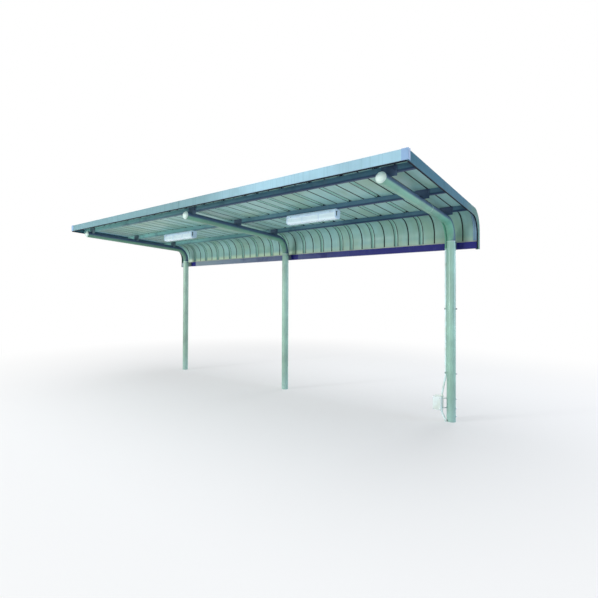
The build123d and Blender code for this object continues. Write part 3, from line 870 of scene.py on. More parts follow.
def finish_under(x, height, left, right, is_first, is_last):
    """Finish of the underside at x: dirt and painted shade by ribs and creases, pale crests,
    flashings.
    """
    edges = ((left, is_first), (right, is_last))
    for edge, at_verge in edges:
        aside = abs(x - edge)
        if at_verge and aside < FLASHING_STEPS[3]:
            gap = FLASHING_STEPS[0] < aside < FLASHING_STEPS[1] or aside > FLASHING_STEPS[2]
            return GROOVE if gap else FLASHING
    from_rib = min(abs(x - edge) for edge, at_verge in edges if not at_verge)
    if from_rib < RIB_BASE / 2:
        return CREST
    in_crease = abs(x - left - RIB_PITCH) < CREASE_BASE / 2 and height > FLAT_LIMIT
    return GROOVE if in_crease or from_rib < RIB_BASE / 2 + DIRT_AND_SHADE_EDGE else UNDER


print("hat rib", RIB_BASE, "wide, crease", CREASE_BASE, "wide")

# %% [markdown]
# A pressed sheet is never flat between its ribs: it oil-cans by a millimetre or so, which shows in
# its reflections. So the flats get a slow waviness that dies out where the sheet is fixed, at the
# purlins and the rail. Those runs are read from the measured nodes.

# %% Skins of the seventeen sheets
PURLIN_FLANGE = 0.030
WAVE_HEIGHT = 0.0014
WAVES_ACROSS = 5.0
WAVES_ALONG = 3.4
WAVE_SHIFT = 7.3
HELD_RUN = 0.05
FREE_RUN = 0.22
SHEET_STEPS = (36, 20, 3)

purlin_runs = []
for place_name in ("front", "middle", "rear"):
    web_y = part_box(f"purlin_{place_name}")[0].y + PURLIN_HEIGHT * sin(ROOF_FALL)
    purlin_runs.append((web_y - sheets.front.y) / cos(ROOF_FALL))
rail_low, rail_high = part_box("rear_rail")
rail_run = sheets.full + sheets.tail_z - (rail_low.z + rail_high.z) / 2
fixed_runs = [run + PURLIN_FLANGE / 2 for run in purlin_runs] + [rail_run]


def freedom(run):
    """How far the sheet may wave at a run: nothing where it is fixed or ends."""
    nearest = min([abs(run - fixed) for fixed in fixed_runs] + [run, sheets.full - run])
    return min(1.0, max(0.0, (nearest - HELD_RUN) / (FREE_RUN - HELD_RUN)))


def outer_line(points, thickness):
    """The same line moved out by a thickness, square to itself."""
    moved = []
    for i, point in enumerate(points):
        ahead = points[min(i + 1, len(points) - 1)] - point
        behind = point - points[max(i - 1, 0)]
        ahead, behind = ahead if ahead.length else behind, behind if behind.length else ahead
        along = ahead.normalized() + behind.normalized()
        square = Vector((-along.y, along.x)).normalized()
        stretch = 1 / max(0.5, square.dot(Vector((-ahead.y, ahead.x)).normalized()))
        moved.append(point + square * thickness * stretch)
    return moved


def pressed_sheet(number, left, right, last_number):
    """One roof sheet, its underside in pale coat with dirty ribs and its top weathered."""
    is_first, is_last = number == 1, number == last_number
    line = with_flats(rounded(sheet_corners(left, right, is_first, is_last)))
    under = [point for point, _ in line]
    over = outer_line(under, SHEET_THICKNESS)
    shares = [share for _, share in line]
    rings = []
    for run in sheets.stations(*SHEET_STEPS):
        ring = []
        for point, may_wave in zip(under + over[::-1], shares + shares[::-1]):
            spot = Vector((point.x * WAVES_ACROSS, run * WAVES_ALONG, number * WAVE_SHIFT))
            wave = noise.noise(spot) * WAVE_HEIGHT
            height = point.y + wave * may_wave * freedom(run)
            ring.append(sheets.at(run, height, point.x))
        rings.append(ring)
    shape = Shape()
    shape.skin(rings)
    count = len(under)
    centres = [(here + after) / 2 for here, after in zip(under, under[1:])]
    finishes = [finish_under(c.x, c.y, left, right, is_first, is_last) for c in centres]
    shape.kinds = (finishes + [OVER] * (count + 1)) * (len(rings) - 1)
    for first in (0, (len(rings) - 1) * 2 * count):
        last = first + 2 * count - 1
        for i in range(count - 1):
            quad = (first + i, first + i + 1, last - 1 - i, last - i)
            shape.faces.append(quad if first else quad[::-1])
            shape.kinds.append(OVER)
    node = f"roof_sheet_{number:02d}"
    shape.piece(f"pressed_sheet_{number:02d}", sheet_finishes, [node])


sheet_names = sorted(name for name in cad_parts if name.startswith("roof_sheet_"))
sheet_edges = [sheet_low.x]
for name in sheet_names:
    low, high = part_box(name)
    sheet_edges.append(sheet_edges[-1] + round((high.x - low.x) / RIB_PITCH) * RIB_PITCH)
for number, (left, right) in enumerate(zip(sheet_edges, sheet_edges[1:]), start=1):
    pressed_sheet(number, left, right, len(sheet_names))
print("sheets end at", round(sheet_edges[-1], 4))

# %% [markdown]
# Between the ribs and the purlins the sheets leave small tunnels. Black foam fillers close them,
# and they show as the row of dark marks along each purlin's top edge. On the rear rail a pale angle
# closes the lower ends of the ribs, and shows as a light line above the rail.

# %% Foam fillers and the closing angle
FOAM_LENGTH = 0.022
FOAM_GAP = 0.0003
END_INSET = 0.001
ANGLE_SEAT = 0.0002
ANGLE_INSET = 0.0004
ANGLE_SKIN = 0.0012
ANGLE_LEG = 0.030
ANGLE_RISE = 0.0180


def filler(shape, run, middle, base, crest, height):
    """A foam block that fills one rib or crease above a purlin."""
    wide, narrow, top = base / 2 - FOAM_GAP, crest / 2 - FOAM_GAP, height - FOAM_GAP
    foot = [(middle - wide, FOAM_GAP), (middle + wide, FOAM_GAP)]
    head = [(middle + narrow, top), (middle - narrow, top)]
    sheets.strip(shape, (run, run + FOAM_LENGTH), foot + head)


fillers = Shape()
for left, right in zip(sheet_edges, sheet_edges[1:]):
    for run in purlin_runs:
        if has_crease(left, right):
            filler(fillers, run, left + RIB_PITCH, CREASE_BASE, CREASE_CREST, CREASE_HEIGHT)
        if right != sheet_edges[-1]:
            filler(fillers, run, right, RIB_BASE, RIB_CREST, RIB_HEIGHT)
fillers.piece("rib_fillers", gasket_rubber)

rail_reach = rail_high.x - END_INSET
angle_back = rail_high.y - ANGLE_INSET
angle_foot = rail_high.z + ANGLE_SEAT
angle_fold = angle_foot + ANGLE_SKIN
angle_top = rail_high.z + ANGLE_RISE
closing = Shape()
closing.bar(rail_reach, rectangle(rail_high.y - ANGLE_LEG, angle_back, angle_foot, angle_fold))
closing.bar(rail_reach, rectangle(angle_back - ANGLE_SKIN, angle_back, angle_fold, angle_top))
closing.piece("closing_angle", angle_cream)

# %% [markdown]
# A black rubber lip runs along the fascia's foot and round both verges, and is also painted shade
# for the dark gap under the trims. It follows the verge's lower flange, which bends on a radius of
# its own, so it gets a roof line of its own.

# %% Rubber lips
LIP_DEPTH = 0.086
LIP_BEND = 0.215
LIP_RUBBER = 0.0042
LIP_SEAT = 0.0002
LIP_INNER = 0.0008
LIP_OUTER = 0.0004
FOOT_RUBBER = 0.0085
FOOT_WIDTH = 0.015
FOOT_INSET = 0.0003

# Painted shade: the black lips also darken the gap under the trims.
lips = Shape()
lip_line = RoofLine(LIP_DEPTH, LIP_BEND, verge_low.z)
for way in (-1, 1):
    left, right = sorted((way * (rail_high.x + LIP_INNER), way * (verge_high.x - LIP_OUTER)))
    lip_line.strip(lips, lip_line.stations(), rectangle(left, right, -LIP_RUBBER, -LIP_SEAT))
fascia_low, fascia_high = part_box("front_fascia")
lip_front = fascia_low.y + FOOT_INSET
lip_top = fascia_low.z - LIP_SEAT
lip_foot = fascia_low.z - FOOT_RUBBER
lips.bar(rail_reach, rectangle(lip_front, lip_front + FOOT_WIDTH, lip_foot, lip_top))
lips.piece("rubber_shade_lips", gasket_rubber)

# %% [markdown]
# The fascia is two lengths that meet over the middle arm. A narrow cover plate hides the joint,
# with a painted shadow line, a thin dark strip, at each side and a rivet near its top and foot.

# %% Fascia joint
COVER_WIDTH = 0.046
COVER_PROUD = 0.0008
COVER_LIFT = 0.0001
SEAM_WIDTH = 0.0022
SEAM_DEPTH = 0.0006
RIVET_INSET = 0.014
RIVET = [(0.0042, -0.0004), (0.0040, 0.0004), (0.0024, 0.0011), (0.0005, 0.0013)]

joint = Shape()
joint_foot = fascia_low.z + END_INSET
joint_height = fascia_high.z - fascia_low.z - 2 * END_INSET
plate = facing((0, fascia_low.y - COVER_LIFT, joint_foot), (0, 0, 1))
joint.block(plate, (COVER_WIDTH, 2 * COVER_PROUD, joint_height))
# Painted shadow lines: thin dark strips at both sides of the plate.
for way in (-1, 1):
    seam = facing((way * COVER_WIDTH / 2, fascia_low.y, joint_foot), (0, 0, 1))
    joint.block(seam, (SEAM_WIDTH, SEAM_DEPTH, joint_height), kind=1)
for z in (fascia_low.z + RIVET_INSET, fascia_high.z - RIVET_INSET):
    spot = facing((0, fascia_low.y - COVER_PROUD, z), (0, -1, 0))
    joint.turned(spot, RIVET, sides=16)
joint.piece("fascia_joint", [trim_paint, groove_dirt_and_shade])

# %% [markdown]
# Fasteners come next. A roof screw is a rubber washer, a steel washer and a hexagon. A bolt has a
# washer and a chamfered hexagon, and a nut shows the end of the thread as well. Each part of them
# is a profile of (radius, height) turned about its own axis, with 6 sides for a hexagon. The
# profiles of bolts and nuts give radii as shares of a width, so that one list serves all sizes.

# %% Screws, bolts and nuts
RUBBER_WASHER = [(0.0080, 0), (0.0082, 0.0012)]
STEEL_WASHER = [(0.0072, 0.0012), (0.0066, 0.0020), (0.0050, 0.0024)]
SCREW_HEAD = [(0.0047, 0.0020), (0.0047, 0.0052), (0.0040, 0.0060)]
BOLT_WASHER = [(0.60, 0), (0.62, 0.0016), (0.55, 0.0020)]
BOLT_HEAD = [(0.97, 0.0020), (1.0, 0.0030), (1.0, 0.0068), (0.86, 0.0080)]
THREAD_END = [(0.28, 0.0080), (0.28, 0.0120), (0.22, 0.0130)]


def widened(profile, size):
    """A profile with its radii multiplied by a size, and its heights as they are."""
    return [(radius * size, height) for radius, height in profile]


def corner_of(across):
    """From the middle of a hexagon to its corner, by its width across flats."""
    return across / 2 / cos(pi / 6)


def add_screw(shape, place, size=1.0):
    """A self-drilling roof screw with its washers."""
    shape.turned(place, widened(RUBBER_WASHER, size), 20, kind=1)
    shape.turned(place, widened(STEEL_WASHER, size), 20)
    shape.turned(place, widened(SCREW_HEAD, size), 6)


def add_bolt(shape, place, across=0.017, kind=0):
    """A bolt's head with its washer."""
    shape.turned(place, widened(BOLT_WASHER, across), 24, kind)
    shape.turned(place, widened(BOLT_HEAD, corner_of(across)), 6, kind)


def add_nut(shape, place, across=0.017, kind=0):
    """The nut of a bolt, with the end of its thread."""
    add_bolt(shape, place, across, kind)
    shape.turned(place, widened(THREAD_END, across), 16, kind)


arm_places = {}
for side in ("left", "middle", "right"):
    low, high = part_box(f"arm_{side}")
    arm_places[side] = ((low.x + high.x) / 2, low.y)
post_xs = [x for x, _ in arm_places.values()]
print("arms at", [round(x, 3) for x in post_xs])

# %% [markdown]
# Each rib is screwed through its crest to every purlin. At the rail there is no crest to screw
# through, so two screws hold the flat on both sides of a rib. Smaller ones hold down the verges.

# %% Roof screws
PAN_SCREW_SHIFT = 0.045
VERGE_SCREWS = 6
VERGE_SCREW_START = 0.10
VERGE_SCREW_PITCH = 0.33
VERGE_SCREW_INSET = 0.022
VERGE_SCREW_SIZE = 0.6

screws = Shape()
for edge in sheet_edges[1:-1]:
    for run in purlin_runs:
        spot = sheets.at(run + PURLIN_FLANGE / 2, RIB_HEIGHT + SHEET_THICKNESS + LAP_GAP, edge)
        add_screw(screws, facing(spot, off_roof))
    for way in (-1, 1):
        spot = sheets.at(rail_run, SHEET_THICKNESS, edge + way * PAN_SCREW_SHIFT)
        add_screw(screws, facing(spot, (0, 1, 0)))
for way in (-1, 1):
    for step in range(VERGE_SCREWS):
        run = VERGE_SCREW_START + step * VERGE_SCREW_PITCH
        spot = sheets.at(run, SHEET_DEPTH, way * (verge_high.x - VERGE_SCREW_INSET))
        add_screw(screws, facing(spot, off_roof), VERGE_SCREW_SIZE)
screws.piece("roof_screws", [fastener_zinc, gasket_rubber])

# %% [markdown]
# Two bolts go through each cleat and the web of its purlin, with their nuts behind the web. They
# were dipped with the plates. Two more hold each rail bracket, and a set bolt on both sides of the
# post's head keeps the arm from turning.

# %% Cleat bolts, bracket bolts and the set bolts of the arms
CLEAT_THICKNESS = 0.006
WEB_THICKNESS = 0.0023
BOLT_ASIDE = 0.083
BOLT_HEIGHTS = (-0.018, -0.043)
BRACKET_BOLT = 0.015
BRACKET_BOLT_ASIDE = 0.018
BRACKET_LEG = 0.004
SET_BOLT = 0.019
SET_BOLT_DROP = 0.013
SET_BOLT_SEAT = 0.0003
POST_RADIUS = 0.0508

post_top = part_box("post_right")[1].z
bracket_low, bracket_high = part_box("rail_brackets")
bracket_middle = (bracket_low.z + bracket_high.z) / 2
bolts = Shape()
for x in post_xs:
    for run in purlin_runs:
        for height in BOLT_HEIGHTS:
            front = sheets.at(run - CLEAT_THICKNESS, height, x + BOLT_ASIDE)
            back = sheets.at(run + WEB_THICKNESS, height, x + BOLT_ASIDE)
            add_bolt(bolts, facing(front, -down_slope), kind=1)
            add_nut(bolts, facing(back, down_slope), kind=1)
    for way in (-1, 1):
        spot = (x + way * BRACKET_BOLT_ASIDE, bracket_high.y - BRACKET_LEG, bracket_middle)
        add_bolt(bolts, facing(spot, (0, -1, 0)), BRACKET_BOLT)
        side = (x + way * (POST_RADIUS - SET_BOLT_SEAT), 0, post_top - SET_BOLT_DROP)
        add_bolt(bolts, facing(side, (way, 0, 0), (0, 0, 1)), SET_BOLT, kind=1)
bolts.piece("frame_bolts", [fastener_zinc, plate_paint])

# %% [markdown]
# The cleats and rail brackets are welded to the tubes. Each weld is a bead along the edge that
# meets the tube, curved at a cleat and upright at a bracket. It is drawn as a rope with small
# ripples, and is painted with the plate.

# %% Weld beads
ARM_RADIUS = 0.0473
ARM_AXIS = -0.1076
WELD_RADIUS = 0.0026
COPE_START = radians(19)
COPE_END = radians(129)
COPE_REACH = ARM_RADIUS + 0.0010
COPE_FRONT = CLEAT_THICKNESS + 0.0008
COPE_STEPS = 44
BRACKET_EDGE = 0.0405
BRACKET_WELD_LIFT = 0.0004
BRACKET_WELD_INSET = 0.002
BRACKET_STEPS = 30

bracket_touch = (POST_RADIUS**2 - BRACKET_EDGE**2) ** 0.5 + BRACKET_WELD_LIFT
bracket_foot = bracket_low.z + BRACKET_WELD_INSET
bracket_rise = bracket_high.z - bracket_low.z - 2 * BRACKET_WELD_INSET
welds = Shape()
for x in post_xs:
    for run in purlin_runs:
        path = []
        for step in range(COPE_STEPS + 1):
            angle = COPE_START + (COPE_END - COPE_START) * step / COPE_STEPS
            height = ARM_AXIS + COPE_REACH * sin(angle)
            path.append(sheets.at(run - COPE_FRONT, height, x + COPE_REACH * cos(angle)))
        welds.bead(path, WELD_RADIUS)
    for way in (-1, 1):
        path = []
        for step in range(BRACKET_STEPS + 1):
            z = bracket_foot + bracket_rise * step / BRACKET_STEPS
            path.append(Vector((x + way * BRACKET_EDGE, bracket_touch, z)))
        welds.bead(path, WELD_RADIUS)
welds.piece("weld_beads", plate_paint)

# %% [markdown]
# The arms end in domed white caps. The measured ones are a plain rim and a coarse dome. These are
# turned from a profile: a plug in the tube, a rolled rim, a small groove, and a smooth crown, which
# is what catches the round highlight. A pale collar of the same plastic closes the gap between each
# arm and its post, and its bright line also stands for the highlight on the post's rim, as a
# painted highlight. The edge of a cap is given as (radius outside the arm's, height), and the
# collar as (radius, height) above the post's top.

# %% Domed caps and post collars
CAP_GAP = 0.0003
CAP_RIM = 0.0035
CAP_RISE = 0.020
CAP_PLUG = [(-0.0060, -0.030), (-0.0045, 0.0), (-0.0012, 0.0)]
CAP_ROLL = [(0.0, 0.0008), (0.0, CAP_RIM - 0.0012), (-0.0010, CAP_RIM - 0.0002)]
CROWN_STEPS = 12
CROWN_FULLNESS = 0.9
CROWN_TIP = 0.0005
COLLAR = [(0.0476, 0.0002), (0.0510, 0.0002), (0.0514, 0.0012), (0.0512, 0.0046), (0.0478, 0.0062)]

cap_profile = [(ARM_RADIUS + out, height) for out, height in CAP_PLUG + CAP_ROLL]
for step in range(CROWN_STEPS + 1):
    angle = pi / 2 * step / CROWN_STEPS
    reach = (ARM_RADIUS - CAP_RIM) * cos(angle) ** CROWN_FULLNESS
    cap_profile.append((max(reach, CROWN_TIP), CAP_RIM + CAP_RISE * sin(angle)))
caps = Shape()
# Painted highlight: the pale collar stands for the bright rim of each post.
collars = Shape()
axis_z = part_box("arm_caps")[1].z - ARM_RADIUS * cos(ROOF_FALL)
for x, low_y in arm_places.values():
    end_y = low_y + ARM_RADIUS * sin(ROOF_FALL)
    caps.turned(facing((x, end_y - CAP_GAP, axis_z), -down_slope), cap_profile, sides=64)
    collars.ring_of(facing((x, 0, post_top), (0, 0, 1)), COLLAR, sides=64)
caps.piece("domed_caps", cap_plastic, ["arm_caps"])
collars.piece("post_collars", cap_plastic)

# %% [markdown]
# The conduit runs along the post, and its straps close on the far side with two ears and a bolt. On
# the conduit's side a dark saddle presses the strap down: a short section swept through half a
# turn. The lower one leans a little. The sleeves are where two lengths of conduit are
# pushed together, with an end given as (radius outside the conduit's, height).

# %% Strap ears, saddles and conduit sleeves
CONDUIT_X = 2.4379
CONDUIT_RADIUS = 0.011
STRAP_RISE = 0.014
STRAP_SKIN = 0.0018
STRAP_HEIGHTS = (0.556, 1.317)
SADDLE_LEANS = (0.30, 0.0)
SADDLE_GAP = 0.0003
SADDLE_SKIN = 0.0016
SADDLE_OVERHANG = 0.002
SADDLE_STEPS = 16
EAR_REACH = 0.014
EAR_THICKNESS = 0.002
EAR_ASIDE = 0.003
EAR_ROOT = 0.0012
EAR_BOLT = 0.008
EAR_BOLT_SHARE = 0.55
EAR_BOLT_ASIDE = 0.0041
SLEEVE_HEIGHTS = (0.66, 1.58)
SLEEVE_LENGTH = 0.040
SLEEVE_END = [(0.0002, 0), (0.0022, 0.001), (0.0018, 0.004)]


def add_saddle(shape, place, inner, outer, rise, kind=0):
    """Half a ring about a place's own Z, on the side of its own -X."""
    angles = [pi / 2 + pi * step / SADDLE_STEPS for step in range(SADDLE_STEPS + 1)]
    section = rectangle(inner, outer, 0, rise)
    shape.solid([[around(place, r, angle, h) for r, h in section] for angle in angles], kind)


def add_ears(shape, centre, kind):
    """Two plates that stand out from a strap's right side, and the bolt that draws them together."""
    for way in (-1, 1):
        plate = facing(centre + Vector((EAR_REACH / 2, way * EAR_ASIDE, 0)), (0, 0, 1))
        shape.block(plate, (EAR_REACH, EAR_THICKNESS, STRAP_RISE), kind)
    for way, add in ((-1, add_bolt), (1, add_nut)):
        aside = Vector((EAR_REACH * EAR_BOLT_SHARE, way * EAR_BOLT_ASIDE, STRAP_RISE / 2))
        add(shape, facing(centre + aside, (0, way, 0)), EAR_BOLT, kind)


right_x = post_xs[-1]
saddle_inner = CONDUIT_RADIUS + STRAP_SKIN + SADDLE_GAP
saddle_rise = STRAP_RISE + 2 * SADDLE_OVERHANG
clamps = Shape()
for z, lean, kind in zip(STRAP_HEIGHTS, SADDLE_LEANS, (0, 1)):
    saddle = facing((CONDUIT_X, 0, z - SADDLE_OVERHANG), (lean, 0, 1))
    add_saddle(clamps, saddle, saddle_inner, saddle_inner + SADDLE_SKIN, saddle_rise, kind=1)
    add_ears(clamps, Vector((right_x + POST_RADIUS + STRAP_SKIN - EAR_ROOT, 0, z)), kind)
clamps.piece("strap_clamps", [fastener_zinc, plate_paint])

sleeves = Shape()
sleeve_foot = [(CONDUIT_RADIUS + out, height) for out, height in SLEEVE_END]
sleeve_head = [(radius, SLEEVE_LENGTH - height) for radius, height in reversed(sleeve_foot)]
for z in SLEEVE_HEIGHTS:
    sleeves.turned(facing((CONDUIT_X, 0, z), (0, 0, 1)), sleeve_foot + sleeve_head, sides=28)
sleeves.piece("conduit_sleeves", conduit_plastic)

# %% [markdown]
# The box has a lid with four slotted screws, and a hexagon locknut with a short collar where each
# conduit enters it. They are profiles turned in place. A slot is a thin black block laid on its
# screw, because a groove as fine as that would look the same and cost more faces.

# %% Box screws and locknuts
LID_SCREW_INSET = (0.011, 0.012)
LID_SCREW = [(0.0048, 0), (0.0046, 0.0008), (0.0030, 0.0016)]
LID_SCREW_SEAT = 0.0002
SLOT_SIZE = (0.0056, 0.0010, 0.0003)
SLOT_PROUD = 0.0015
SLOT_LEAN = (1, 0, 0.6)
PORT_INSET = 0.014
PORT_GAP = 0.0002
LOCKNUT_ACROSS = 0.024
LOCKNUT = [(0.96, 0), (1.0, 0.001), (1.0, 0.006), (0.92, 0.0075)]
PORT_COLLAR = [(0.0122, 0.0070), (0.0122, 0.0150), (0.0114, 0.0160)]

box_low, box_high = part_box("electrical_box")
lid_low, lid_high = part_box("box_lid")
port = Vector((box_high.x - PORT_INSET, box_high.y - PORT_INSET, 0))
inset_x, inset_z = LID_SCREW_INSET
box_fixings = Shape()
for x in (lid_low.x + inset_x, lid_high.x - inset_x):
    for z in (lid_low.z + inset_z, lid_high.z - inset_z):
        spot = facing((x, lid_low.y + LID_SCREW_SEAT, z), (0, -1, 0))
        box_fixings.turned(spot, LID_SCREW, sides=18)
        slot = facing((x, lid_low.y - SLOT_PROUD, z), (0, -1, 0), SLOT_LEAN)
        box_fixings.block(slot, SLOT_SIZE, kind=1)
for z, way in ((box_high.z + PORT_GAP, 1), (box_low.z - PORT_GAP, -1)):
    nut_place = facing(port + Vector((0, 0, z)), (0, 0, way))
    box_fixings.turned(nut_place, widened(LOCKNUT, corner_of(LOCKNUT_ACROSS)), 6, kind=2)
    box_fixings.turned(nut_place, PORT_COLLAR, kind=2)
box_fixings.piece("box_fixings", [fastener_zinc, gasket_rubber, box_plastic])

# %% [markdown]
# Two arms in pale sleeves reach from the box to bands round the post, and a third band sits near
# the post's foot. A sleeve is a plain bar along the line between box and band, with a small bolt
# near each end. Each band is drawn tight on the post's far side, in a housing: a bar across the
# band, with the band's screw through it as a smooth barrel and a hexagon. The housings are bright
# zinc, and show as glints along the post.

# %% Sleeves, the lowest band and the housings
ARM_GAP = 0.0006
ARM_START_Y = -0.0540
ARM_END = (2.4552, -0.0282, 0)
SLEEVE_WIDTH = 0.0044
SLEEVE_LIFT = 0.0006
SLEEVE_INSET = 0.002
SLEEVE_BOLT = 0.007
SLEEVE_BOLT_SEAT = 0.0021
SLEEVE_BOLT_SHARES = (0.22, 0.78)
BAND_LOW = 0.058
BAND_ABOVE_FOOT = 0.014
BAND_BELOW_HEAD = 0.028
BAND_GAP = 0.0003
BAND_SKIN = 0.0018
HOUSING_SIZE = (0.013, 0.018, 0.0050)
HOUSING_SEAT = 0.0016
HOUSING_TURN = radians(-8)
BARREL = [(0.0042, 0), (0.0046, 0.001), (0.0046, 0.020), (0.0040, 0.021)]
BARREL_HEAD = [(0.0040, 0.0205), (0.0040, 0.0255), (0.0034, 0.0262)]
BARREL_OUT = 0.0060
BARREL_BACK = 0.0130

arm_start = Vector((box_high.x + ARM_GAP, ARM_START_Y, 0))
along = Vector(ARM_END) - arm_start
aside = Vector((along.y, -along.x, 0)).normalized()
arm_heights = [box_low.z + BAND_ABOVE_FOOT, box_high.z - BAND_BELOW_HEAD]
bands = Shape()
for z in arm_heights:
    middle = (arm_start + Vector(ARM_END)) / 2 + Vector((0, 0, z - SLEEVE_LIFT))
    sleeve_size = (along.length - 2 * SLEEVE_INSET, SLEEVE_WIDTH, STRAP_RISE + 2 * SLEEVE_LIFT)
    bands.block(facing(middle, (0, 0, 1), along), sleeve_size, kind=2)
    for share in SLEEVE_BOLT_SHARES:
        spot = arm_start + along * share + Vector((0, 0, z + STRAP_RISE / 2))
        add_bolt(bands, facing(spot + aside * SLEEVE_BOLT_SEAT, aside), SLEEVE_BOLT)
band_section = rectangle(POST_RADIUS + BAND_GAP, POST_RADIUS + BAND_SKIN, 0, STRAP_RISE)
bands.ring_of(facing((right_x, 0, BAND_LOW), (0, 0, 1)), band_section, sides=64, kind=1)
housing_way = Vector((cos(HOUSING_TURN), -sin(HOUSING_TURN), 0))
screw_way = Vector((housing_way.y, -housing_way.x, 0))
for z in [BAND_LOW] + arm_heights:
    seat = Vector((right_x, 0, z + STRAP_RISE / 2)) + housing_way * (POST_RADIUS + HOUSING_SEAT)
    bands.block(facing(seat, housing_way, (0, 0, 1)), HOUSING_SIZE)
    barrel_place = facing(seat + housing_way * BARREL_OUT - screw_way * BARREL_BACK, screw_way)
    bands.turned(barrel_place, BARREL, sides=16)
    bands.turned(barrel_place, BARREL_HEAD, sides=6)
bands.piece("band_clamps", [fastener_zinc, post_paint, box_plastic])

# %% [markdown]
# Each lamp's cover is closed by two moulded end caps that stand a little proud of it. Their outline
# is the cover's own, a little larger: a box with rounded lower corners. So one helper gives that
# outline grown by a margin, and another draws it as a slab whose edges can be eased.

# %% End caps of the lamps
LAMP_XS = (-1.25, 1.25)
LAMP_HALF = 0.345
COVER_HALF = 0.337
COVER_WIDTH_HALF = 0.049
COVER_TOP = -0.0984
COVER_FOOT = -0.1666
COVER_FILLET = 0.026
FILLET_STEPS = 8
CAP_PROUD = 0.0028
CAP_LAP = 0.0030
CAP_INSET = 0.0003
CAP_EASE = 0.0016

lamp_run = purlin_runs[1] + PURLIN_FLANGE / 2


def cover_outline(grow):
    """The cover's section, grown by a margin, as (run, height) points."""
    half, foot, radius = COVER_WIDTH_HALF + grow, COVER_FOOT - grow, COVER_FILLET + grow
    left = [(-half, COVER_TOP, 0), (-half, foot, radius)]
    right = [(half, foot, radius), (half, COVER_TOP, 0)]
    return rounded(left + right, FILLET_STEPS)


def lamp_slab(shape, start, width, grow, kind=0, ease=0.0):
    """A slab of the cover's outline from a start along X, with eased edges if asked."""
    end = start + width
    steps = [(start, grow - ease), (start + ease, grow), (end - ease, grow), (end, grow - ease)]
    rings = []
    for x, margin in steps if ease else (steps[0], steps[3]):
        rings.append([sheets.at(lamp_run + p.x, p.y, x) for p in cover_outline(margin)])
    shape.solid(rings, kind)


cap_width = LAMP_HALF - COVER_HALF + CAP_LAP
lamp_ends = Shape()
for middle in LAMP_XS:
    left_start, right_start = middle - LAMP_HALF + CAP_INSET, middle + COVER_HALF - CAP_LAP
    lamp_slab(lamp_ends, left_start, cap_width, CAP_PROUD, ease=CAP_EASE)
    lamp_slab(lamp_ends, right_start, cap_width - CAP_INSET, CAP_PROUD, ease=CAP_EASE)
lamp_ends.piece("lamp_end_caps", lamp_body)

# %% [markdown]
# Two wire straps hold each cover up. They are slabs of the same outline, only thin. At the
# right-hand end a spring clip holds the cap, and a screw shows beside it. Two more screws show on
# the front of the tray.

# %% Wires, clips and screws of the lamps
WIRE_PROUD = 0.0012
WIRE_WIDTH = 0.0030
WIRE_SHARES = (-1 / 3, 1 / 3)
CLIP_ASIDE = 0.030
CLIP_DROP = 0.022
CLIP_SEAT = 0.0002
CLIP_SIZE = (0.036, 0.010, 0.0040)
HOOK_RISE = 0.004
HOOK_SIZE = (0.010, 0.018, 0.0055)
END_SCREW_ASIDE = 0.016
END_SCREW_DROP = 0.020
END_SCREW_SIZE = 0.75
TRAY_SCREW_SHARES = (-0.8, 0.8)
TRAY_SCREW_ASIDE = 0.0550
TRAY_SCREW_RISE = 0.009
TRAY_SCREW_SIZE = 0.5

lamp_fixings = Shape()
for middle in LAMP_XS:
    for share in WIRE_SHARES:
        start = middle + share * LAMP_HALF - WIRE_WIDTH / 2
        lamp_slab(lamp_fixings, start, WIRE_WIDTH, WIRE_PROUD, kind=2)
    end_x = middle + LAMP_HALF
    clip = sheets.at(lamp_run - CLIP_ASIDE, COVER_TOP - CLIP_DROP, end_x - CLIP_SEAT)
    lamp_fixings.block(facing(clip, (1, 0, 0), off_roof), CLIP_SIZE, kind=1)
    hook = sheets.at(lamp_run - CLIP_ASIDE, COVER_TOP + HOOK_RISE, end_x)
    lamp_fixings.block(facing(hook, (1, 0, 0), off_roof), HOOK_SIZE, kind=1)
    spot = sheets.at(lamp_run - END_SCREW_ASIDE, COVER_TOP - END_SCREW_DROP, end_x - CLIP_SEAT)
    add_screw(lamp_fixings, facing(spot, (1, 0, 0)), END_SCREW_SIZE)
    for share in TRAY_SCREW_SHARES:
        along = middle + share * LAMP_HALF
        spot = sheets.at(lamp_run - TRAY_SCREW_ASIDE, COVER_TOP + TRAY_SCREW_RISE, along)
        add_screw(lamp_fixings, facing(spot, -down_slope), TRAY_SCREW_SIZE)
lamp_fixings.piece("lamp_straps", [fastener_zinc, gasket_rubber, lamp_body])

# %% [markdown]
# The camera stands where the photograph was taken: a little outside the right-hand end, at eye
# height, turned 39 degrees to the left. The picture was cropped, so its centre lies off the lens
# axis, and a small lens shift says by how much. A camera looks along its own -Z, so its matrix has
# the ways to the right, up and back in its columns.

# %% Camera
CAMERA_PLACE = Vector((3.8635, -4.892, 1.491))
CAMERA_TURN = radians(38.64)
CAMERA_TILT = radians(0.623)
CAMERA_ROLL = radians(0.249)
SENSOR_WIDTH = 36
PICTURE = 598
LENS_PIXELS = 395.12
AXIS_PIXEL = (282.95, 289.63)

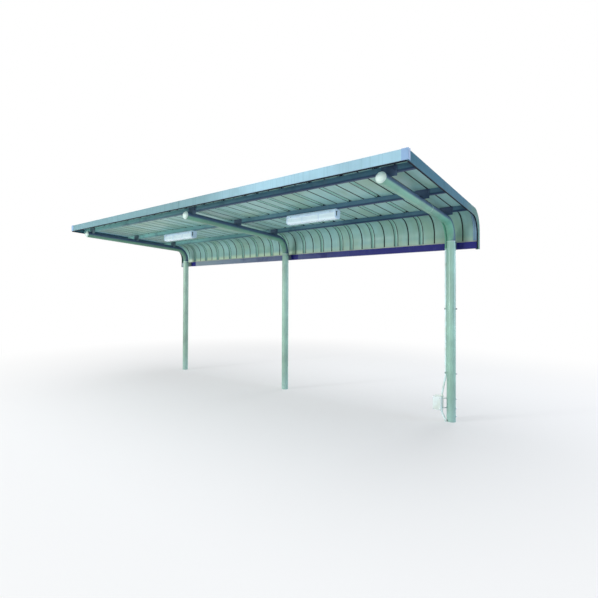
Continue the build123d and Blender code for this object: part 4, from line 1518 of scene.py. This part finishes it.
level = cos(CAMERA_TILT)
ahead = Vector((-sin(CAMERA_TURN) * level, cos(CAMERA_TURN) * level, sin(CAMERA_TILT)))
level_right = Vector((cos(CAMERA_TURN), sin(CAMERA_TURN), 0))
level_up = level_right.cross(ahead)
right_way = cos(CAMERA_ROLL) * level_right + sin(CAMERA_ROLL) * level_up
up_way = cos(CAMERA_ROLL) * level_up - sin(CAMERA_ROLL) * level_right
camera = bpy.data.objects.new("camera", bpy.data.cameras.new("camera"))
bpy.context.scene.collection.objects.link(camera)
turned_to = Matrix((right_way, up_way, -ahead)).transposed().to_4x4()
camera.matrix_world = Matrix.Translation(CAMERA_PLACE) @ turned_to
camera.data.sensor_width = SENSOR_WIDTH
camera.data.lens = LENS_PIXELS * SENSOR_WIDTH / PICTURE
camera.data.shift_x = (PICTURE / 2 - AXIS_PIXEL[0]) / PICTURE
camera.data.shift_y = (AXIS_PIXEL[1] - PICTURE / 2) / PICTURE
bpy.context.scene.camera = camera
print("lens", round(camera.data.lens, 2), "mm")

# %% [markdown]
# A pale floor takes the shadow and throws light up at the undersides of the sheets. Towards the
# distance it fades to plain white, so that no horizon shows, and near the shelter it is lifted
# part of the way. Only rays that show the background see that white, straight, mirrored or through
# something clear, so it throws no light on the shelter. The same goes for the world, which is dim
# grey for all other rays.

# %% Floor and world
FLOOR_SIZE = 40.0
FLOOR_DROP = 0.0005
FLOOR_TONE = (0.86, 0.87, 0.88)
FADE_START = 2.0
FADE_END = 8.0
FLOOR_LIFT = 0.45
AMBIENT = 0.30
WHITE = (1, 1, 1, 1)


def seen_rays(start):
    """1 for rays that show the background: straight, mirrored or through something clear."""
    straight = start.node("LightPath", output="Is Camera Ray")
    mirrored = start.node("LightPath", output="Is Glossy Ray")
    through = start.node("LightPath", output="Is Transmission Ray")
    return straight.maths("MAXIMUM", straight, straight.maths("MAXIMUM", mirrored, through))


floor_material, start, place = new_material("pale_floor")
distance = start.node("VectorMath", {"operation": "LENGTH"}, {0: place}, output="Value")
pale = start.node("BsdfDiffuse", {}, {"Color": colour(*FLOOR_TONE)})
white = start.node("Emission", {}, {"Color": WHITE, "Strength": 1.0})
fade = distance.between(FADE_START, FADE_END) * (1 - FLOOR_LIFT) + FLOOR_LIFT
mixed = start.node("MixShader", {}, {0: fade * seen_rays(start), 1: pale, 2: white})
start.node("OutputMaterial", {}, {"Surface": mixed})
reach = FLOOR_SIZE / 2
floor_corners = [(x, y, 0) for x, y in rectangle(-reach, reach, -reach, reach)]
floor_mesh = bpy.data.meshes.new("floor")
floor_mesh.from_pydata(floor_corners, [], [(0, 1, 2, 3)])
floor_mesh.materials.append(floor_material)
floor = bpy.data.objects.new("floor", floor_mesh)
floor.location.z = -FLOOR_DROP
bpy.context.scene.collection.objects.link(floor)
floor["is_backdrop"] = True

world = bpy.data.worlds.new("white_studio")
world.use_nodes = True
world.node_tree.nodes.clear()
network = Wire(world.node_tree)
strength = AMBIENT + seen_rays(network) * (1 - AMBIENT)
dome = network.node("Background", {}, {"Color": WHITE, "Strength": strength})
network.node("OutputWorld", {}, {"Surface": dome})
bpy.context.scene.world = world
print("floor and world", floor.name, world.name)

# %% [markdown]
# Daylight came from the open front, low enough to reach under the fascia, and from the left: the
# fascia is the brightest surface and the right-hand verge is in shade. One lamp stands for that.
# Broad ones beside and above it open up the shade, two faintly blue ones on the right cool the
# right-hand edges of the tubes, and one lights the back.

# %% Lamps of the studio
COOL_TINT = (0.60, 0.73, 1.0)
FILL_TINT = (0.82, 0.91, 1.0)


def soft_lamp(name, place, target, size, power, tint=(1, 1, 1)):
    """A square area lamp at a place, aimed at a target."""
    light = bpy.data.lights.new(name, "AREA")
    light.size = size
    light.energy = power
    light.color = tint
    lamp = bpy.data.objects.new(name, light)
    lamp.location = place
    lamp.rotation_euler = (Vector(target) - Vector(place)).to_track_quat("-Z", "Y").to_euler()
    bpy.context.scene.collection.objects.link(lamp)


soft_lamp("key", (-7.0, -12.0, 6.4), (0, -1, 1.6), 1.8, 790)
soft_lamp("low_sky", (-4.0, -12.0, 2.0), (0.5, 0, 2.0), 2.6, 370)
soft_lamp("overhead", (0.0, -2.0, 9.0), (0, -1, 0), 7.0, 480)
soft_lamp("fill", (6.5, -6.0, 2.0), (0.5, -0.5, 1.3), 3.0, 80, FILL_TINT)
soft_lamp("right_sky", (9.0, 2.5, 2.4), (2.0, 0, 1.2), 4.0, 260, COOL_TINT)
soft_lamp("back", (2.0, 9.0, 5.0), (0, 0, 1.5), 5.0, 330)
bpy.context.scene.view_settings.view_transform = "Standard"
print("lamps are on")

# %% Sizes, and the end
low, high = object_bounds()
